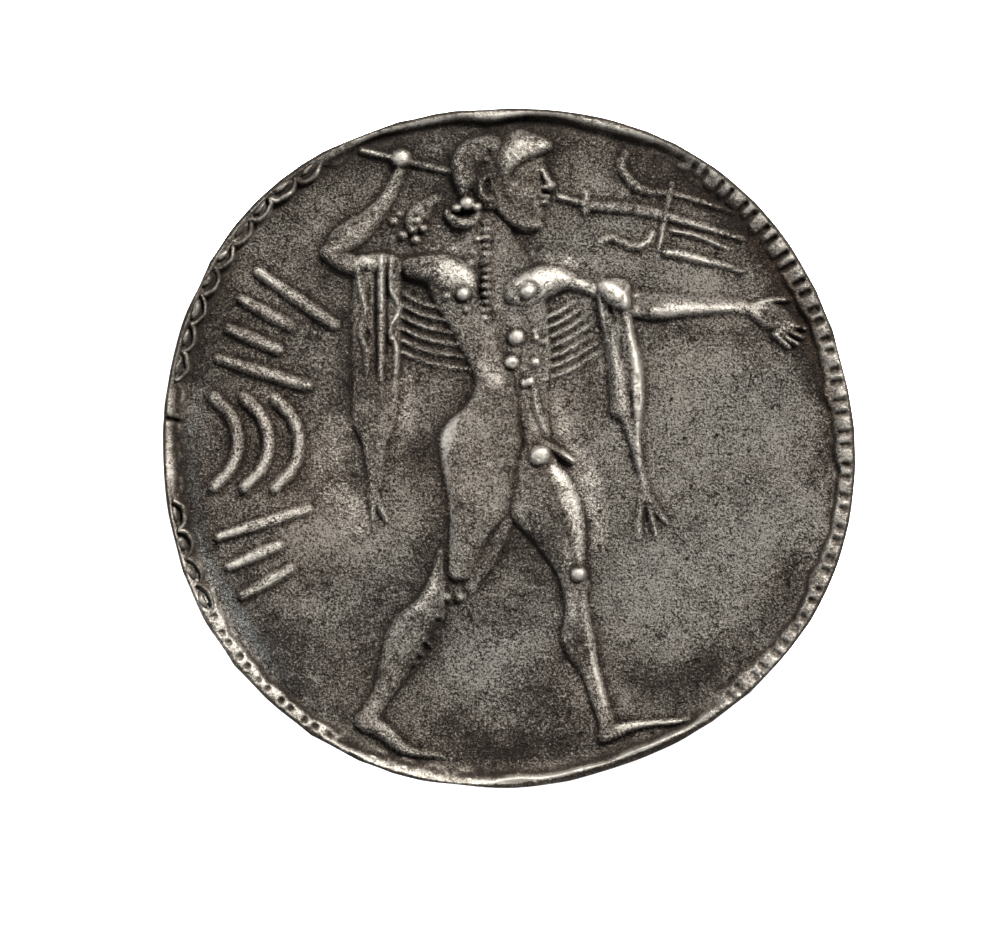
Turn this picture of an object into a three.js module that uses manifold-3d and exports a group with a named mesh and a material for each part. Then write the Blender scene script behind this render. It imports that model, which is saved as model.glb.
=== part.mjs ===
// An archaic silver coin, struck on a broad thin flan. The obverse carries a striding man in high relief
// inside a cable border, with a row of shallow strokes beside him. The reverse carries the same figure
// sunk into the metal, as if seen from behind. The coin lies on its reverse: +Z is up out of the obverse,
// +Y is towards the figure's head, and the origin is under the middle of the flan. Millimetres.
import * as THREE from "three";
import { mergeVertices } from "three/addons/utils/BufferGeometryUtils.js";
import Module from "manifold-3d";

const wasm = await Module();
wasm.setup();

// The flan and its rim
const COIN_WIDTH = 29.5; // across the flan, from edge to edge along X
const FIELD_THICKNESS = 0.95; // metal between the reverse and the obverse field
const RIM_HEIGHT = 0.5; // the rim's crown above the obverse field
const RIM_CROWN_WIDTH = 0.7; // the crown's flat
const RIM_SLOPE_WIDTH = 0.25; // from the crown down to the field
const EDGE_ROUNDING = 0.25; // radius of the edge's upper corner
const FOOT_CHAMFER = 0.15; // chamfer of the edge's lower corner
const FLAN_SEGMENTS = 60;

// The flan's outline was never a true circle: each wave is a share of its mean radius, [cosine, sine]
const OUTLINE_WAVES = [[-0.009, 0.003], [0.009, 0.001], [0.005, 0], [-0.0075, -0.0045], [0.001, -0.0035]];

// The cable border, worn away at the top and the lower right
const BORDER_LINKS = 69;
const LINK_RADIUS = 0.5;
const LINK_RELIEF = 0.16; // above the rim's crown
const LINK_INSET = 0.8; // from the flan's edge to a link's middle
const WORN_STRETCHES = [[62, 122], [262, 312]]; // degrees round from +X, with no links left

// The figure and its relief
const FIGURE_MARGIN = 0.2; // between the figure and the foot of the rim
const FIGURE_RELIEF = 0.8; // the highest relief above the field
const FIGURE_SHIFT = new THREE.Vector2(-0.4, 0.23); // the figure's middle, from the middle of the flan
const INCUSE_DEPTH = 0.4; // how far the highest relief is sunk into the reverse
const INCUSE_LEAST_SHARE = 0.4; // forms with a smaller share of the relief don't reach the reverse

// The strokes beside the figure
const STROKE_HALF_WIDTH = 0.26;
const STROKE_RELIEF = 0.3;
const STROKE_MARGIN = 0.7; // between the strokes' outer ends and the foot of the rim
const LONG_STROKE = 3.9;
const SHORT_STROKE = 2.3;
const STROKE_PITCH = 6; // degrees between neighbouring strokes
const STROKE_GROUPS = [
  { first: 145, lengths: [LONG_STROKE, SHORT_STROKE, SHORT_STROKE, LONG_STROKE] },
  { first: 197, lengths: [LONG_STROKE, SHORT_STROKE, SHORT_STROKE] },
]; // first is the direction of a group's first stroke, in degrees round from +X
const ARC_DIRECTION = 179;
const ARC_RADIUS = 2.3;
const ARC_HALF_SPAN = 56; // degrees to each side of an arc's middle
const ARC_PITCH = 1.3;
const ARC_COUNT = 3;

// How finely the forms are drawn
const WIDE_SECTION = 6; // faces across a broad form's rounded back
const NARROW_SECTION = 4;
const RIDGE_SECTION = 2;
const BEAD_SIDES = 6;
const RING_SPACING = 1.25; // along a form, where its stations are further apart
const WIDE_END_TURNS = [40, 72]; // degrees at which a rounded end gets its rings
const NARROW_END_TURNS = [55];
const PILLOW_POWER = 2.4; // 2 is a round back, and more is flatter with steeper flanks
const SINK = FIELD_THICKNESS / 3; // how deep a raised form is rooted in the flan

// The outline's radius at an angle, for a mean radius of 1
function outlineShare(angle) {
  const waves = OUTLINE_WAVES.map(
    ([cosine, sine], i) => cosine * Math.cos((i + 1) * angle) + sine * Math.sin((i + 1) * angle));
  return waves.reduce((sum, wave) => sum + wave, 1);
}

// The middle and the width of the outline's bounding box, for a mean radius of 1
function outlineBox() {
  const box = new THREE.Box2();
  for (let degree = 0; degree < 360; degree++) {
    const angle = THREE.MathUtils.degToRad(degree);
    const direction = new THREE.Vector2(Math.cos(angle), Math.sin(angle));
    box.expandByPoint(direction.multiplyScalar(outlineShare(angle)));
  }
  return { middle: box.getCenter(new THREE.Vector2()), width: box.max.x - box.min.x };
}

const OUTLINE = outlineBox();
const MEAN_RADIUS = COIN_WIDTH / OUTLINE.width;
const FIELD_RADIUS = MEAN_RADIUS - EDGE_ROUNDING - RIM_CROWN_WIDTH - RIM_SLOPE_WIDTH;
const FIGURE_HEIGHT = 2 * (FIELD_RADIUS - FIGURE_MARGIN);
const PERCENT = FIGURE_HEIGHT / 100; // the figure is drawn in hundredths of its own height

// A point of the flan's own polar grid, in millimetres: radius is measured for the mean circle
function onFlan(radius, angle) {
  const reach = radius * outlineShare(angle);
  return new THREE.Vector2(
    reach * Math.cos(angle) - OUTLINE.middle.x * MEAN_RADIUS,
    reach * Math.sin(angle) - OUTLINE.middle.y * MEAN_RADIUS);
}

// A point of the figure, in hundredths of its height: x from its axis, y up from the ground line
function onFigure(x, y) {
  return new THREE.Vector2(x * PERCENT, y * PERCENT - FIGURE_HEIGHT / 2).add(FIGURE_SHIFT);
}

// A closed geometry as a solid
function solidOf(geometry) {
  geometry.deleteAttribute("normal");
  geometry.deleteAttribute("uv");
  const merged = mergeVertices(geometry, 1e-4);
  return new wasm.Manifold(new wasm.Mesh({
    numProp: 3,
    vertProperties: new Float32Array(merged.attributes.position.array),
    triVerts: new Uint32Array(merged.index.array),
  }));
}

// The blank: a lathe profile from the middle of the reverse, round the edge, to the middle of the field
function flan() {
  const crown = FIELD_THICKNESS + RIM_HEIGHT;
  const cornerRadius = MEAN_RADIUS - EDGE_ROUNDING;
  const corner = [0, 45, 90].map((degree) => {
    const turn = THREE.MathUtils.degToRad(degree);
    return [cornerRadius + EDGE_ROUNDING * Math.cos(turn), crown - EDGE_ROUNDING * (1 - Math.sin(turn))];
  });
  const profile = [
    [0, 0],
    [MEAN_RADIUS - FOOT_CHAMFER, 0],
    [MEAN_RADIUS, FOOT_CHAMFER],
    ...corner,
    [cornerRadius - RIM_CROWN_WIDTH, crown],
    [FIELD_RADIUS, FIELD_THICKNESS],
    [0, FIELD_THICKNESS],
  ].map(([radius, height]) => new THREE.Vector2(radius, height));
  const lathe = new THREE.LatheGeometry(profile, FLAN_SEGMENTS);
  lathe.rotateX(Math.PI / 2);
  const position = lathe.attributes.position;
  for (let i = 0; i < position.count; i++) {
    const radius = Math.hypot(position.getX(i), position.getY(i));
    const angle = Math.atan2(position.getY(i), position.getX(i));
    const spot = onFlan(radius, angle);
    position.setXY(i, spot.x, spot.y);
  }
  return solidOf(lathe);
}

// The centre line and half width of a form, smoothed through its stations [x, y, half width]
function smoothStations(stations) {
  const curve = new THREE.CatmullRomCurve3(stations.map((station) => new THREE.Vector3(...station)));
  const straight = stations.length === 2;
  const spaces = straight ? 1 : Math.ceil(curve.getLength() / RING_SPACING);
  return curve.getPoints(Math.max(stations.length - 1, spaces));
}

// Rings that close a form with a round end: the end's own half width shrinks as it moves outwards
function roundEnd(end, outward, turns) {
  return turns.map((degree) => {
    const turn = THREE.MathUtils.degToRad(degree);
    return {
      at: end.at.clone().addScaledVector(outward, end.half * Math.sin(turn)),
      across: end.across,
      half: end.half * Math.cos(turn),
    };
  });
}

// The rings of a form from end to end. A level form keeps its sections along X, as trunk and legs do;
// any other keeps them square to its centre line.
function formRings({ stations, level, faces }) {
  const points = smoothStations(stations);
  const middle = points.map((point, i) => {
    const before = points[Math.max(i - 1, 0)];
    const after = points[Math.min(i + 1, points.length - 1)];
    const along = new THREE.Vector2(after.x - before.x, after.y - before.y).normalize();
    const across = level ? new THREE.Vector2(-Math.sign(along.y), 0) : new THREE.Vector2(-along.y, along.x);
    return { at: new THREE.Vector2(point.x, point.y), along, across, half: point.z };
  });
  const first = middle[0];
  const last = middle[middle.length - 1];
  const turns = faces === WIDE_SECTION ? WIDE_END_TURNS : NARROW_END_TURNS;
  return [
    ...roundEnd(first, first.along.clone().negate(), turns).reverse(),
    ...middle,
    ...roundEnd(last, last.along, turns),
  ];
}

// A closed skin over rings of equally many corners
function loft(vertices, rings) {
  const corners = vertices.length / 3 / rings;
  const triangles = [];
  for (let r = 0; r + 1 < rings; r++) {
    for (let i = 0; i < corners; i++) {
      const a = r * corners + i;
      const b = r * corners + ((i + 1) % corners);
      triangles.push(a, a + corners, b, b, a + corners, b + corners);
    }
  }
  const last = (rings - 1) * corners;
  for (let i = 1; i + 1 < corners; i++) {
    triangles.push(0, i, i + 1, last, last + i + 1, last + i);
  }
  const geometry = new THREE.BufferGeometry();
  geometry.setAttribute("position", new THREE.Float32BufferAttribute(vertices, 3));
  geometry.setIndex(triangles);
  return geometry;
}

// One form in relief: a pillow-backed ridge along its stations, rooted below the surface it stands on
function ridge(form, base) {
  const { relief, faces } = form;
  const rings = formRings(form);
  const widest = Math.max(...rings.map((ring) => ring.half));
  const vertices = [];
  for (const { at, across, half } of rings) {
    const height = relief * Math.sqrt(half / widest);
    const place = (side, z) => vertices.push(at.x + across.x * half * side, at.y + across.y * half * side, z);
    for (let i = 0; i <= faces; i++) {
      const side = -Math.cos((Math.PI * i) / faces);
      place(side, base + height * Math.sqrt(1 - Math.abs(side) ** PILLOW_POWER));
    }
    place(1, base - SINK);
    place(-1, base - SINK);
  }
  return solidOf(loft(vertices, rings.length));
}

// A bead: a rooted stem under a low dome, or under a worn flat top
function bead({ at, half, relief, worn = false }) {
  const back = worn ? [[half * 0.7, relief]] : [[half, 0], [half * 0.72, relief * 0.7]];
  const profile = [[0, -SINK], [half, -SINK], ...back, [0, relief]];
  const points = profile.map(([radius, height]) => new THREE.Vector2(radius, height));
  const lathe = new THREE.LatheGeometry(points, BEAD_SIDES);
  lathe.rotateX(Math.PI / 2);
  lathe.translate(at.x, at.y, FIELD_THICKNESS);
  return solidOf(lathe);
}

// The trunk runs on without a break into the thigh of the trailing leg, and the belly stands beside it
function trunk() {
  const trunkAndThigh = [
    [-2, 82, 4.6], [-3.2, 78.6, 8.2], [-3.2, 75, 7.3], [-2.5, 71.7, 6.4], [-2.7, 67.9, 4], [-2.7, 65, 2.8],
    [-1.2, 60.5, 3.2], [-1, 57.4, 4], [-2.4, 52.6, 6.3], [-3.1, 49.2, 6.8], [-3, 45, 5.9],
    [-3.3, 39, 4.8], [-5, 34.5, 3.1], [-6.3, 28.8, 1.6],
  ];
  const belly = [[4, 72, 3.6], [4.3, 64, 3.4], [5.2, 55, 2.6], [6.4, 48, 1.8]];
  return [
    { share: 0.85, faces: WIDE_SECTION, level: true, stations: trunkAndThigh },
    { share: 0.35, level: true, stations: belly },
  ];
}

// Each breast is drawn out towards its shoulder
function breasts() {
  const rear = [[-14, 77.6, 1.6], [-9.5, 77, 2.6], [-6.3, 76.2, 2.9], [-4.6, 75.2, 2]];
  const fore = [[2.2, 74.6, 1.5], [5, 75.2, 2.5], [8, 76, 2.2], [10.5, 76.2, 1.4], [14, 74.6, 1.4]];
  return [rear, fore].map((stations) => ({ share: 0.9, faces: WIDE_SECTION, stations }));
}

// The fore leg from hip to heel, and the rear leg from below the knee
function legs() {
  const foreLeg = [
    [4.9, 46.6, 2.5], [6.2, 42.5, 4.6], [7.1, 38.6, 5.2], [8.9, 35.1, 4.1], [10, 32.6, 3.3],
    [11.9, 28, 2.3], [12.3, 23.5, 2], [12.6, 18.4, 2.8], [13.6, 15, 2.2],
    [15.3, 10.4, 1.6], [16.9, 5.9, 1.35], [17.3, 3.6, 1.2],
  ];
  const rearLeg = [
    [-9.5, 32.6, 0.5], [-10, 28.9, 1.1], [-11, 25, 2.4], [-12.6, 22.3, 3.8], [-14.4, 19.4, 3.9],
    [-16.3, 14.8, 3], [-18, 11, 2], [-19.6, 8.4, 1.8], [-20.8, 6.2, 1.7],
  ];
  const foreFoot = [[16.9, 3.2, 1.1], [19.1, 4.1, 1.1], [21.6, 4.8, 0.75], [26, 5.3, 0.55], [30.2, 5.9, 0.3]];
  const rearFoot = [[-21.7, 5.4, 1.2], [-19.1, 4.3, 1.3], [-16, 1.8, 1], [-9.5, 0.2, 0.5]];
  return [
    { share: 0.78, faces: WIDE_SECTION, level: true, stations: foreLeg },
    { share: 0.6, faces: WIDE_SECTION, level: true, stations: rearLeg },
    { share: 0.45, stations: foreFoot },
    { share: 0.45, stations: rearFoot },
  ];
}

// The rear arm is bent to throw, its fist a bead; the fore arm is stretched out with an open hand
function arms() {
  const rearForearm = [
    [-15.4, 93.8, 0.65], [-17.2, 89.6, 1], [-21.3, 84.7, 1.6], [-24.2, 82.2, 2], [-27, 80.3, 1.6],
  ];
  const rearUpperArm = [[-27.4, 79.7, 1.3], [-24.6, 78.7, 1.6], [-21.3, 78.1, 1.4], [-12.7, 77.8, 1.6]];
  const foreForearm = [[20, 72.3, 1.7], [24, 71.7, 1.9], [28, 71.6, 1.7], [34, 71.6, 1.3], [39, 71.6, 0.95]];
  const palm = [[39.5, 71.5, 0.9], [43.2, 70.3, 1.9], [46.1, 68.8, 1.6]];
  const thumb = [[41.7, 72.2, 0.4], [46, 72.8, 0.4]];
  const fingers = [0, 1, 2, 3].map(
    (i) => [[45.4 - 0.5 * i, 69.2 - 0.65 * i, 0.4], [48.7 - 0.85 * i, 68.2 - 1.05 * i, 0.3]]);
  return [
    { share: 0.6, stations: rearForearm },
    { share: 0.5, stations: rearUpperArm },
    { share: 0.5, stations: foreForearm },
    { share: 0.4, stations: palm },
    ...[thumb, ...fingers].map((stations) => ({ share: 0.32, faces: RIDGE_SECTION, stations })),
  ];
}

// A cloak hangs from each arm, falls to a narrow tail and ends in a tassel of parted threads
function cloak() {
  const rearFall = [
    [-18.8, 78.4, 3.5], [-19.2, 74, 3.65], [-19.8, 63, 3.65], [-19.9, 57.6, 3.4], [-20.1, 53.6, 2.9],
    [-20, 49.9, 1.8], [-19.9, 45.5, 1.3], [-19.8, 42.5, 0.9],
  ];
  const foreFall = [
    [18, 76.4, 2.7], [18.3, 73.5, 2.9], [18.4, 69.5, 2.5], [18.9, 65.5, 2.7], [19.6, 61.4, 3.1],
    [20, 56.5, 2.9], [21, 53.6, 1.8], [21.5, 51.4, 1.3], [21.9, 49.1, 0.9], [22.6, 45.6, 0.45],
  ];
  const folds = [
    [[-20, 76.5, 0.6], [-20.3, 60, 0.4]],
    [[-17.2, 77, 0.6], [-17.6, 62, 0.4]],
    [[17.4, 75, 0.6], [18.2, 62, 0.4]],
    [[19.8, 75, 0.6], [20.8, 57, 0.4]],
  ];
  const threads = [
    [[-20.4, 42.2, 0.5], [-20.1, 38.2, 0.35]],
    [[-19.7, 42.2, 0.5], [-18.1, 37.8, 0.35]],
    [[22.8, 44.2, 0.5], [23.7, 42, 0.35]],
    [[23.8, 42.2, 0.5], [26.6, 38.8, 0.35]],
    [[22.9, 41.4, 0.5], [21.9, 37.5, 0.35]],
    [[23.5, 41.2, 0.5], [24.3, 37.5, 0.35]],
  ];
  return [
    { share: 0.5, level: true, stations: rearFall },
    { share: 0.62, level: true, stations: foreFall },
    ...folds.map((stations) => ({ share: 0.75, faces: RIDGE_SECTION, stations })),
    ...threads.map((stations) => ({ share: 0.3, faces: RIDGE_SECTION, stations })),
  ];
}

// Between trunk and cloak the cloth shows as sloping pleats, falling inwards from both sides
function pleats() {
  const rear = Array.from({ length: 6 }, (unused, i) =>
    [[-15.3 - 0.16 * i, 73.5 - 1.85 * i, 0.42], [-10.3 + 0.98 * i, 71.4 - 1.96 * i, 0.32]]);
  const fore = Array.from({ length: 7 }, (unused, i) =>
    [[8.3 - 0.1 * i, 70.4 - 1.67 * i, 0.36], [11.6 + 0.66 * i, 72.2 - 1.35 * i, 0.3]]);
  return [...rear, ...fore].map((stations) => ({ share: 0.28, faces: RIDGE_SECTION, stations }));
}

// The head in profile: face, skull, hair in two rolls, a short beard, an ear, an eye and lips
function head() {
  const face = [[3.4, 96.6, 3.4], [3, 94, 4.6], [2.9, 91.5, 4.5], [3.1, 89, 4.1], [3.9, 86.8, 3]];
  const skull = [[-1.4, 95.4, 3.2], [-1.7, 92.8, 3.7], [-1.2, 89.8, 2.6]];
  const backRoll = [[-5.7, 91.6, 1.5], [-5.8, 94.6, 1.9], [-4.2, 96.7, 1.9], [-0.8, 97.6, 0.9]];
  const frontRoll = [[0.3, 92.8, 0.8], [1.2, 95.3, 1.6], [2.6, 96.6, 2], [4.8, 97.4, 1.7], [7, 97.8, 0.8]];
  const beard = [[-0.2, 89.6, 0.9], [0.8, 87.4, 1.5], [3, 85.9, 1.7], [5.2, 85.2, 1.4], [6.3, 85.5, 0.9]];
  const nose = [[7, 94.4, 0.5], [7.9, 92.5, 0.7], [8.3, 91.2, 0.8]];
  const ear = [[-1.5, 92.6, 0.45], [-3, 91.2, 0.5], [-3.1, 89.4, 0.5], [-1.9, 88, 0.45]];
  const brow = [[3, 94.5, 0.4], [7, 94.6, 0.4]];
  const eye = [[3.8, 93, 0.4], [6, 93, 0.4]];
  const upperLip = [[6, 89.1, 0.35], [7.4, 89.1, 0.4]];
  const lowerLip = [[6, 88.2, 0.35], [7.2, 88.2, 0.4]];
  return [
    { share: 0.5, faces: WIDE_SECTION, level: true, stations: face },
    { share: 0.45, level: true, stations: skull },
    { share: 0.75, stations: backRoll },
    { share: 0.8, stations: frontRoll },
    { share: 0.68, stations: beard },
    ...[nose, ear, brow, eye, upperLip, lowerLip].map(
      (stations) => ({ share: 0.62, faces: RIDGE_SECTION, stations })),
  ];
}

// Locks of hair behind the neck and over the shoulder of the raised arm
function locks() {
  const nape = [[-8.3, 86.3, 0.6], [-6.7, 85.1, 0.85], [-4.8, 85.2, 0.85], [-3.7, 86.3, 0.6]];
  const overShoulder = [[-10.2, 89, 0.6], [-12.1, 87.4, 1.2], [-13.7, 85.7, 1.3], [-14, 84.1, 0.7]];
  return [nape, overShoulder].map((stations) => ({ share: 0.5, faces: RIDGE_SECTION, stations }));
}

// The trident: its shaft passes behind the head, and a bar binds its long prongs
function trident() {
  const shaft = [[-22.1, 96.7, 0.35], [13.8, 88, 0.35]];
  const socket = [[13.8, 90, 0.4], [13.7, 86.8, 0.4]];
  const middleProng = [[14.6, 87.8, 0.5], [26.1, 86.3, 0.6], [39, 82.5, 0.35]];
  const upperProng = [
    [20.2, 96.2, 0.35], [19.4, 94.2, 0.5], [21.9, 90.9, 0.55], [27.5, 89.7, 0.4], [37.4, 86.7, 0.35],
  ];
  const lowerProng = [[15.5, 80.9, 0.35], [17.9, 82.7, 0.45], [21.9, 81.3, 0.5], [24.4, 83.5, 0.4]];
  const lowerPoint = [[26.4, 80.4, 0.5], [32.1, 79.2, 0.5], [38.6, 77.3, 0.3]];
  const bar = [[27.5, 91.4, 0.3], [25.4, 80.8, 0.3]];
  const parts = [shaft, socket, middleProng, upperProng, lowerProng, lowerPoint, bar];
  return parts.map((stations) => ({ share: 0.28, faces: RIDGE_SECTION, stations }));
}

// The line down the belly and the bar below it
function loins() {
  const bellyLine = [[5.6, 58.6, 0.6], [6, 55.5, 0.85], [7.4, 51.7, 0.5]];
  const bar = [[6.2, 49.8, 0.5], [11, 47.5, 0.5]];
  return [bellyLine, bar].map((stations) => ({ share: 0.65, faces: RIDGE_SECTION, stations }));
}

// Beads in hundredths of the figure's height, each [x, y, half width, share of the relief]
function figureBeads() {
  const fist = [[-15.7, 95.4, 1.45, 0.62]];
  const chest = [[-5.8, 73.8, 1.1, 1], [4.6, 74.2, 1.25, 1], [-8.4, 73.4, 0.65, 0.9]];
  const belly = [
    [2.7, 66.8, 1.25, 0.8], [5.7, 67.2, 0.9, 0.6], [1.9, 62.8, 1.2, 0.8], [5.7, 62.8, 0.95, 0.6],
    [4.3, 59.6, 1, 0.6], [6.6, 48, 1.5, 0.85],
  ];
  const knees = [[-8.6, 25.3, 0.7, 0.6], [-6.2, 25.3, 0.7, 0.45], [12.6, 29, 1.1, 0.9]];
  const curls = [
    [-5.2, 88.3, 0.95, 0.6], [-16.9, 85.4, 0.55, 0.35], [-15.4, 83.1, 0.6, 0.35], [-13.4, 82.4, 0.6, 0.35],
  ];
  const neckCord = Array.from({ length: 3 }, (unused, i) => [-2.1, 84 - 1.8 * i, 0.5, 0.8]);
  const breastCord = Array.from({ length: 4 }, (unused, i) => [-2.3, 78 - 1.7 * i, 0.5, 0.98]);
  return [...fist, ...chest, ...belly, ...knees, ...curls, ...neckCord, ...breastCord];
}

// The figure's ridges, in millimetres
function figureForms() {
  const drawn = [
    ...trunk(), ...breasts(), ...legs(), ...arms(), ...cloak(), ...pleats(), ...head(), ...locks(),
    ...trident(), ...loins(),
  ];
  return drawn.map(({ share, faces = NARROW_SECTION, level = false, stations }) => ({
    share,
    faces,
    level,
    relief: share * FIGURE_RELIEF,
    stations: stations.map(([x, y, half]) => [...onFigure(x, y), half * PERCENT]),
  }));
}

// Groups of straight strokes that point to the middle, above and below a row of arcs
function strokes() {
  const outer = FIELD_RADIUS - STROKE_MARGIN;
  const station = (spot) => [spot.x, spot.y, STROKE_HALF_WIDTH];
  const bars = STROKE_GROUPS.flatMap(({ first, lengths }) => lengths.map((length, i) => {
    const angle = THREE.MathUtils.degToRad(first + i * STROKE_PITCH);
    return [onFlan(outer, angle), onFlan(outer - length, angle)].map(station);
  }));
  const arcs = Array.from({ length: ARC_COUNT }, (unused, i) => {
    const middle = onFlan(outer + ARC_RADIUS - (i + 1) * ARC_PITCH, THREE.MathUtils.degToRad(ARC_DIRECTION));
    return [-1, -0.5, 0, 0.5, 1].map((share) => {
      const turn = THREE.MathUtils.degToRad(share * ARC_HALF_SPAN);
      const reach = new THREE.Vector2(Math.cos(turn), Math.sin(turn)).multiplyScalar(ARC_RADIUS);
      return station(middle.clone().add(reach));
    });
  });
  return [...bars, ...arcs].map((stations) => ({ relief: STROKE_RELIEF, faces: NARROW_SECTION, stations }));
}

// The cable's links, as flat-topped beads that scallop the rim's inner side, where they are not worn away
function borderLinks() {
  const degrees = Array.from({ length: BORDER_LINKS }, (unused, i) => (360 * i) / BORDER_LINKS);
  const kept = degrees.filter((degree) => !WORN_STRETCHES.some(([from, to]) => degree > from && degree < to));
  return kept.map((degree) => ({
    at: onFlan(MEAN_RADIUS - LINK_INSET, THREE.MathUtils.degToRad(degree)),
    half: LINK_RADIUS,
    relief: RIM_HEIGHT + LINK_RELIEF,
    worn: true,
  }));
}

// Everything that stands up out of the obverse field
function raised() {
  const beads = figureBeads().map(([x, y, half, share]) => ({
    at: onFigure(x, y),
    half: half * PERCENT,
    relief: share * FIGURE_RELIEF,
  }));
  return [
    ...[...figureForms(), ...strokes()].map((form) => ridge(form, FIELD_THICKNESS)),
    ...[...beads, ...borderLinks()].map(bead),
  ];
}

// Only the broad forms were carried through to the reverse
function sunken() {
  return figureForms()
    .filter(({ faces, share }) => faces > RIDGE_SECTION && share >= INCUSE_LEAST_SHARE)
    .map((form) => ridge({ ...form, faces: NARROW_SECTION, relief: form.share * INCUSE_DEPTH }, 0));
}

// The struck coin as one solid
function struckCoin() {
  const obverse = raised().reduce((coin, form) => coin.add(form), flan());
  return sunken().reduce((coin, form) => coin.subtract(form), obverse);
}

// A solid as a mesh geometry
function geometryOf(solid) {
  const { vertProperties, triVerts } = solid.getMesh();
  const geometry = new THREE.BufferGeometry();
  geometry.setAttribute("position", new THREE.BufferAttribute(vertProperties, 3));
  geometry.setIndex(new THREE.BufferAttribute(triVerts, 1));
  geometry.computeVertexNormals();
  return geometry;
}

const silver = new THREE.MeshStandardMaterial({ color: 0x7c756d, roughness: 0.45, metalness: 0.9 });
const coin = new THREE.Mesh(geometryOf(struckCoin()), silver);
coin.name = "coin";
const group = new THREE.Group();
group.add(coin);

export default group;
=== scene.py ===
# %% [markdown]
# # An old silver coin, struck in code
# A broad thin coin in the archaic manner: a striding man in high relief inside a cable border, and the
# same figure sunk into the back. A real one is made by hammering a silver blank between two engraved
# dies. The scene does the same: it draws the dies as height maps, presses them into one closed blank, sets
# the cable's links round the rim, and then ages the metal. All lengths are millimetres until a mesh is made.

# %% Load the measured model
import math

import bpy
import numpy as np
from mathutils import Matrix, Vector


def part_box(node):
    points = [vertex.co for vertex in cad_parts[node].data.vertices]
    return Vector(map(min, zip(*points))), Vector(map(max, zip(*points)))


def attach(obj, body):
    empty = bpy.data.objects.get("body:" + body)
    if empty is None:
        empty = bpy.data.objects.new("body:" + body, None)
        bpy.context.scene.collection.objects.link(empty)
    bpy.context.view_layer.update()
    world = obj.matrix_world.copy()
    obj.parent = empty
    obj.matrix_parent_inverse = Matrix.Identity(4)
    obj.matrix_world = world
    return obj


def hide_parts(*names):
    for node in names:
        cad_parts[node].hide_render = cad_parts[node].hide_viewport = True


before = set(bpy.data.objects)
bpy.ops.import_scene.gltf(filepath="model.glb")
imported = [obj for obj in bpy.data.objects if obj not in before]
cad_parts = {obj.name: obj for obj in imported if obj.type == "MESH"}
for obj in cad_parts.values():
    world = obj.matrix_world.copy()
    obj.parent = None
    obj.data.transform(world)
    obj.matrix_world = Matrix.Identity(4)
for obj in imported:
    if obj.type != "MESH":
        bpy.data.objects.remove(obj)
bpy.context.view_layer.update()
low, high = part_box("coin")
MM = 0.001
coin_width = (high[0] - low[0]) / MM
coin_top = (high[2] - low[2]) / MM
print(f"coin: {coin_width:.2f} mm wide and {coin_top:.2f} mm thick")

# %% [markdown]
# ## The blank's outline
# A hand-cut blank is never a true circle. A few slow waves on the radius, each a share of the mean radius,
# bend the circle into the real outline, and everything that follows the rim uses the same waves.

# %% The outline and the heights of the blank
OUTLINE_WAVES = [(-0.009, 0.003), (0.009, 0.001), (0.005, 0), (-0.0075, -0.0045), (0.001, -0.0035)]
FIELD = 0.95  # thickness of metal under the flat field
RIM = 0.5  # the rim's crown above the field
RELIEF = coin_top - FIELD  # the figure's highest point above the field
INCUSE = 0.4  # how deep the highest relief is sunk into the back
EDGE_ROUNDING = 0.16
SLACK = 0.002  # keeps every point just inside the measured size


def outline(angle):
    """The edge's distance from the middle, as a share of the mean radius."""
    share = np.ones_like(angle)
    for i, (cosine, sine) in enumerate(OUTLINE_WAVES, start=1):
        share = share + cosine * np.cos(i * angle) + sine * np.sin(i * angle)
    return share


turn = np.linspace(0, 2 * np.pi, 721)
edge_x, edge_y = outline(turn) * np.cos(turn), outline(turn) * np.sin(turn)
radius = coin_width / (edge_x.max() - edge_x.min()) - SLACK
middle = np.array([edge_x.max() + edge_x.min(), edge_y.max() + edge_y.min()]) * radius / 2
print(f"mean radius {radius:.2f} mm")


def on_flan(reach, angle):
    """A point at a distance from the middle, measured as on the mean circle."""
    far = reach * outline(angle)
    return far * np.cos(angle) - middle[0], far * np.sin(angle) - middle[1]


# %% [markdown]
# ## A die as a height map
# A struck coin has one height over each point, so a height map says it all and is far lighter than a
# sculpted mesh. The die is a square sheet of heights. Forms are stamped on it as chains of
# round dabs with a pillow-shaped back, the way an engraver sinks a form with many small cuts.

# %% The sheet and its tools
STEP = 0.04  # between neighbouring heights
HALF_SHEET = 15.4
axis = np.arange(-HALF_SHEET, HALF_SHEET, STEP)
sheet_x, sheet_y = np.meshgrid(axis, axis)


def smooth(stations, spacing=0.12):
    """Points along a Catmull-Rom curve through stations of any number of values."""
    points = np.array(stations, float)
    if len(points) == 2:
        return points
    points = np.vstack([2 * points[0] - points[1], points, 2 * points[-1] - points[-2]])
    smoothed = []
    for a, b, c, d in zip(points, points[1:], points[2:], points[3:]):
        count = max(2, int(np.hypot(*(c - b)[:2]) / spacing))
        t = np.linspace(0, 1, count, endpoint=False)[:, None]
        curve = 2 * b + (c - a) * t + (2 * a - 5 * b + 4 * c - d) * t**2 + (3 * b - a - 3 * c + d) * t**3
        smoothed.append(curve / 2)
    smoothed.append(points[-2:-1])
    smoothed = np.vstack(smoothed)
    smoothed[:, 2] = np.maximum(smoothed[:, 2], 0.03)
    return smoothed


def blur(sheet, width):
    """A Gaussian blur, done as one product of wave strengths."""
    rows = np.fft.fftfreq(sheet.shape[0], STEP)[:, None]
    columns = np.fft.rfftfreq(sheet.shape[1], STEP)[None, :]
    strength = np.exp(-2 * (np.pi * width) ** 2 * (rows**2 + columns**2))
    return np.fft.irfft2(np.fft.rfft2(sheet) * strength, sheet.shape)


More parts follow.
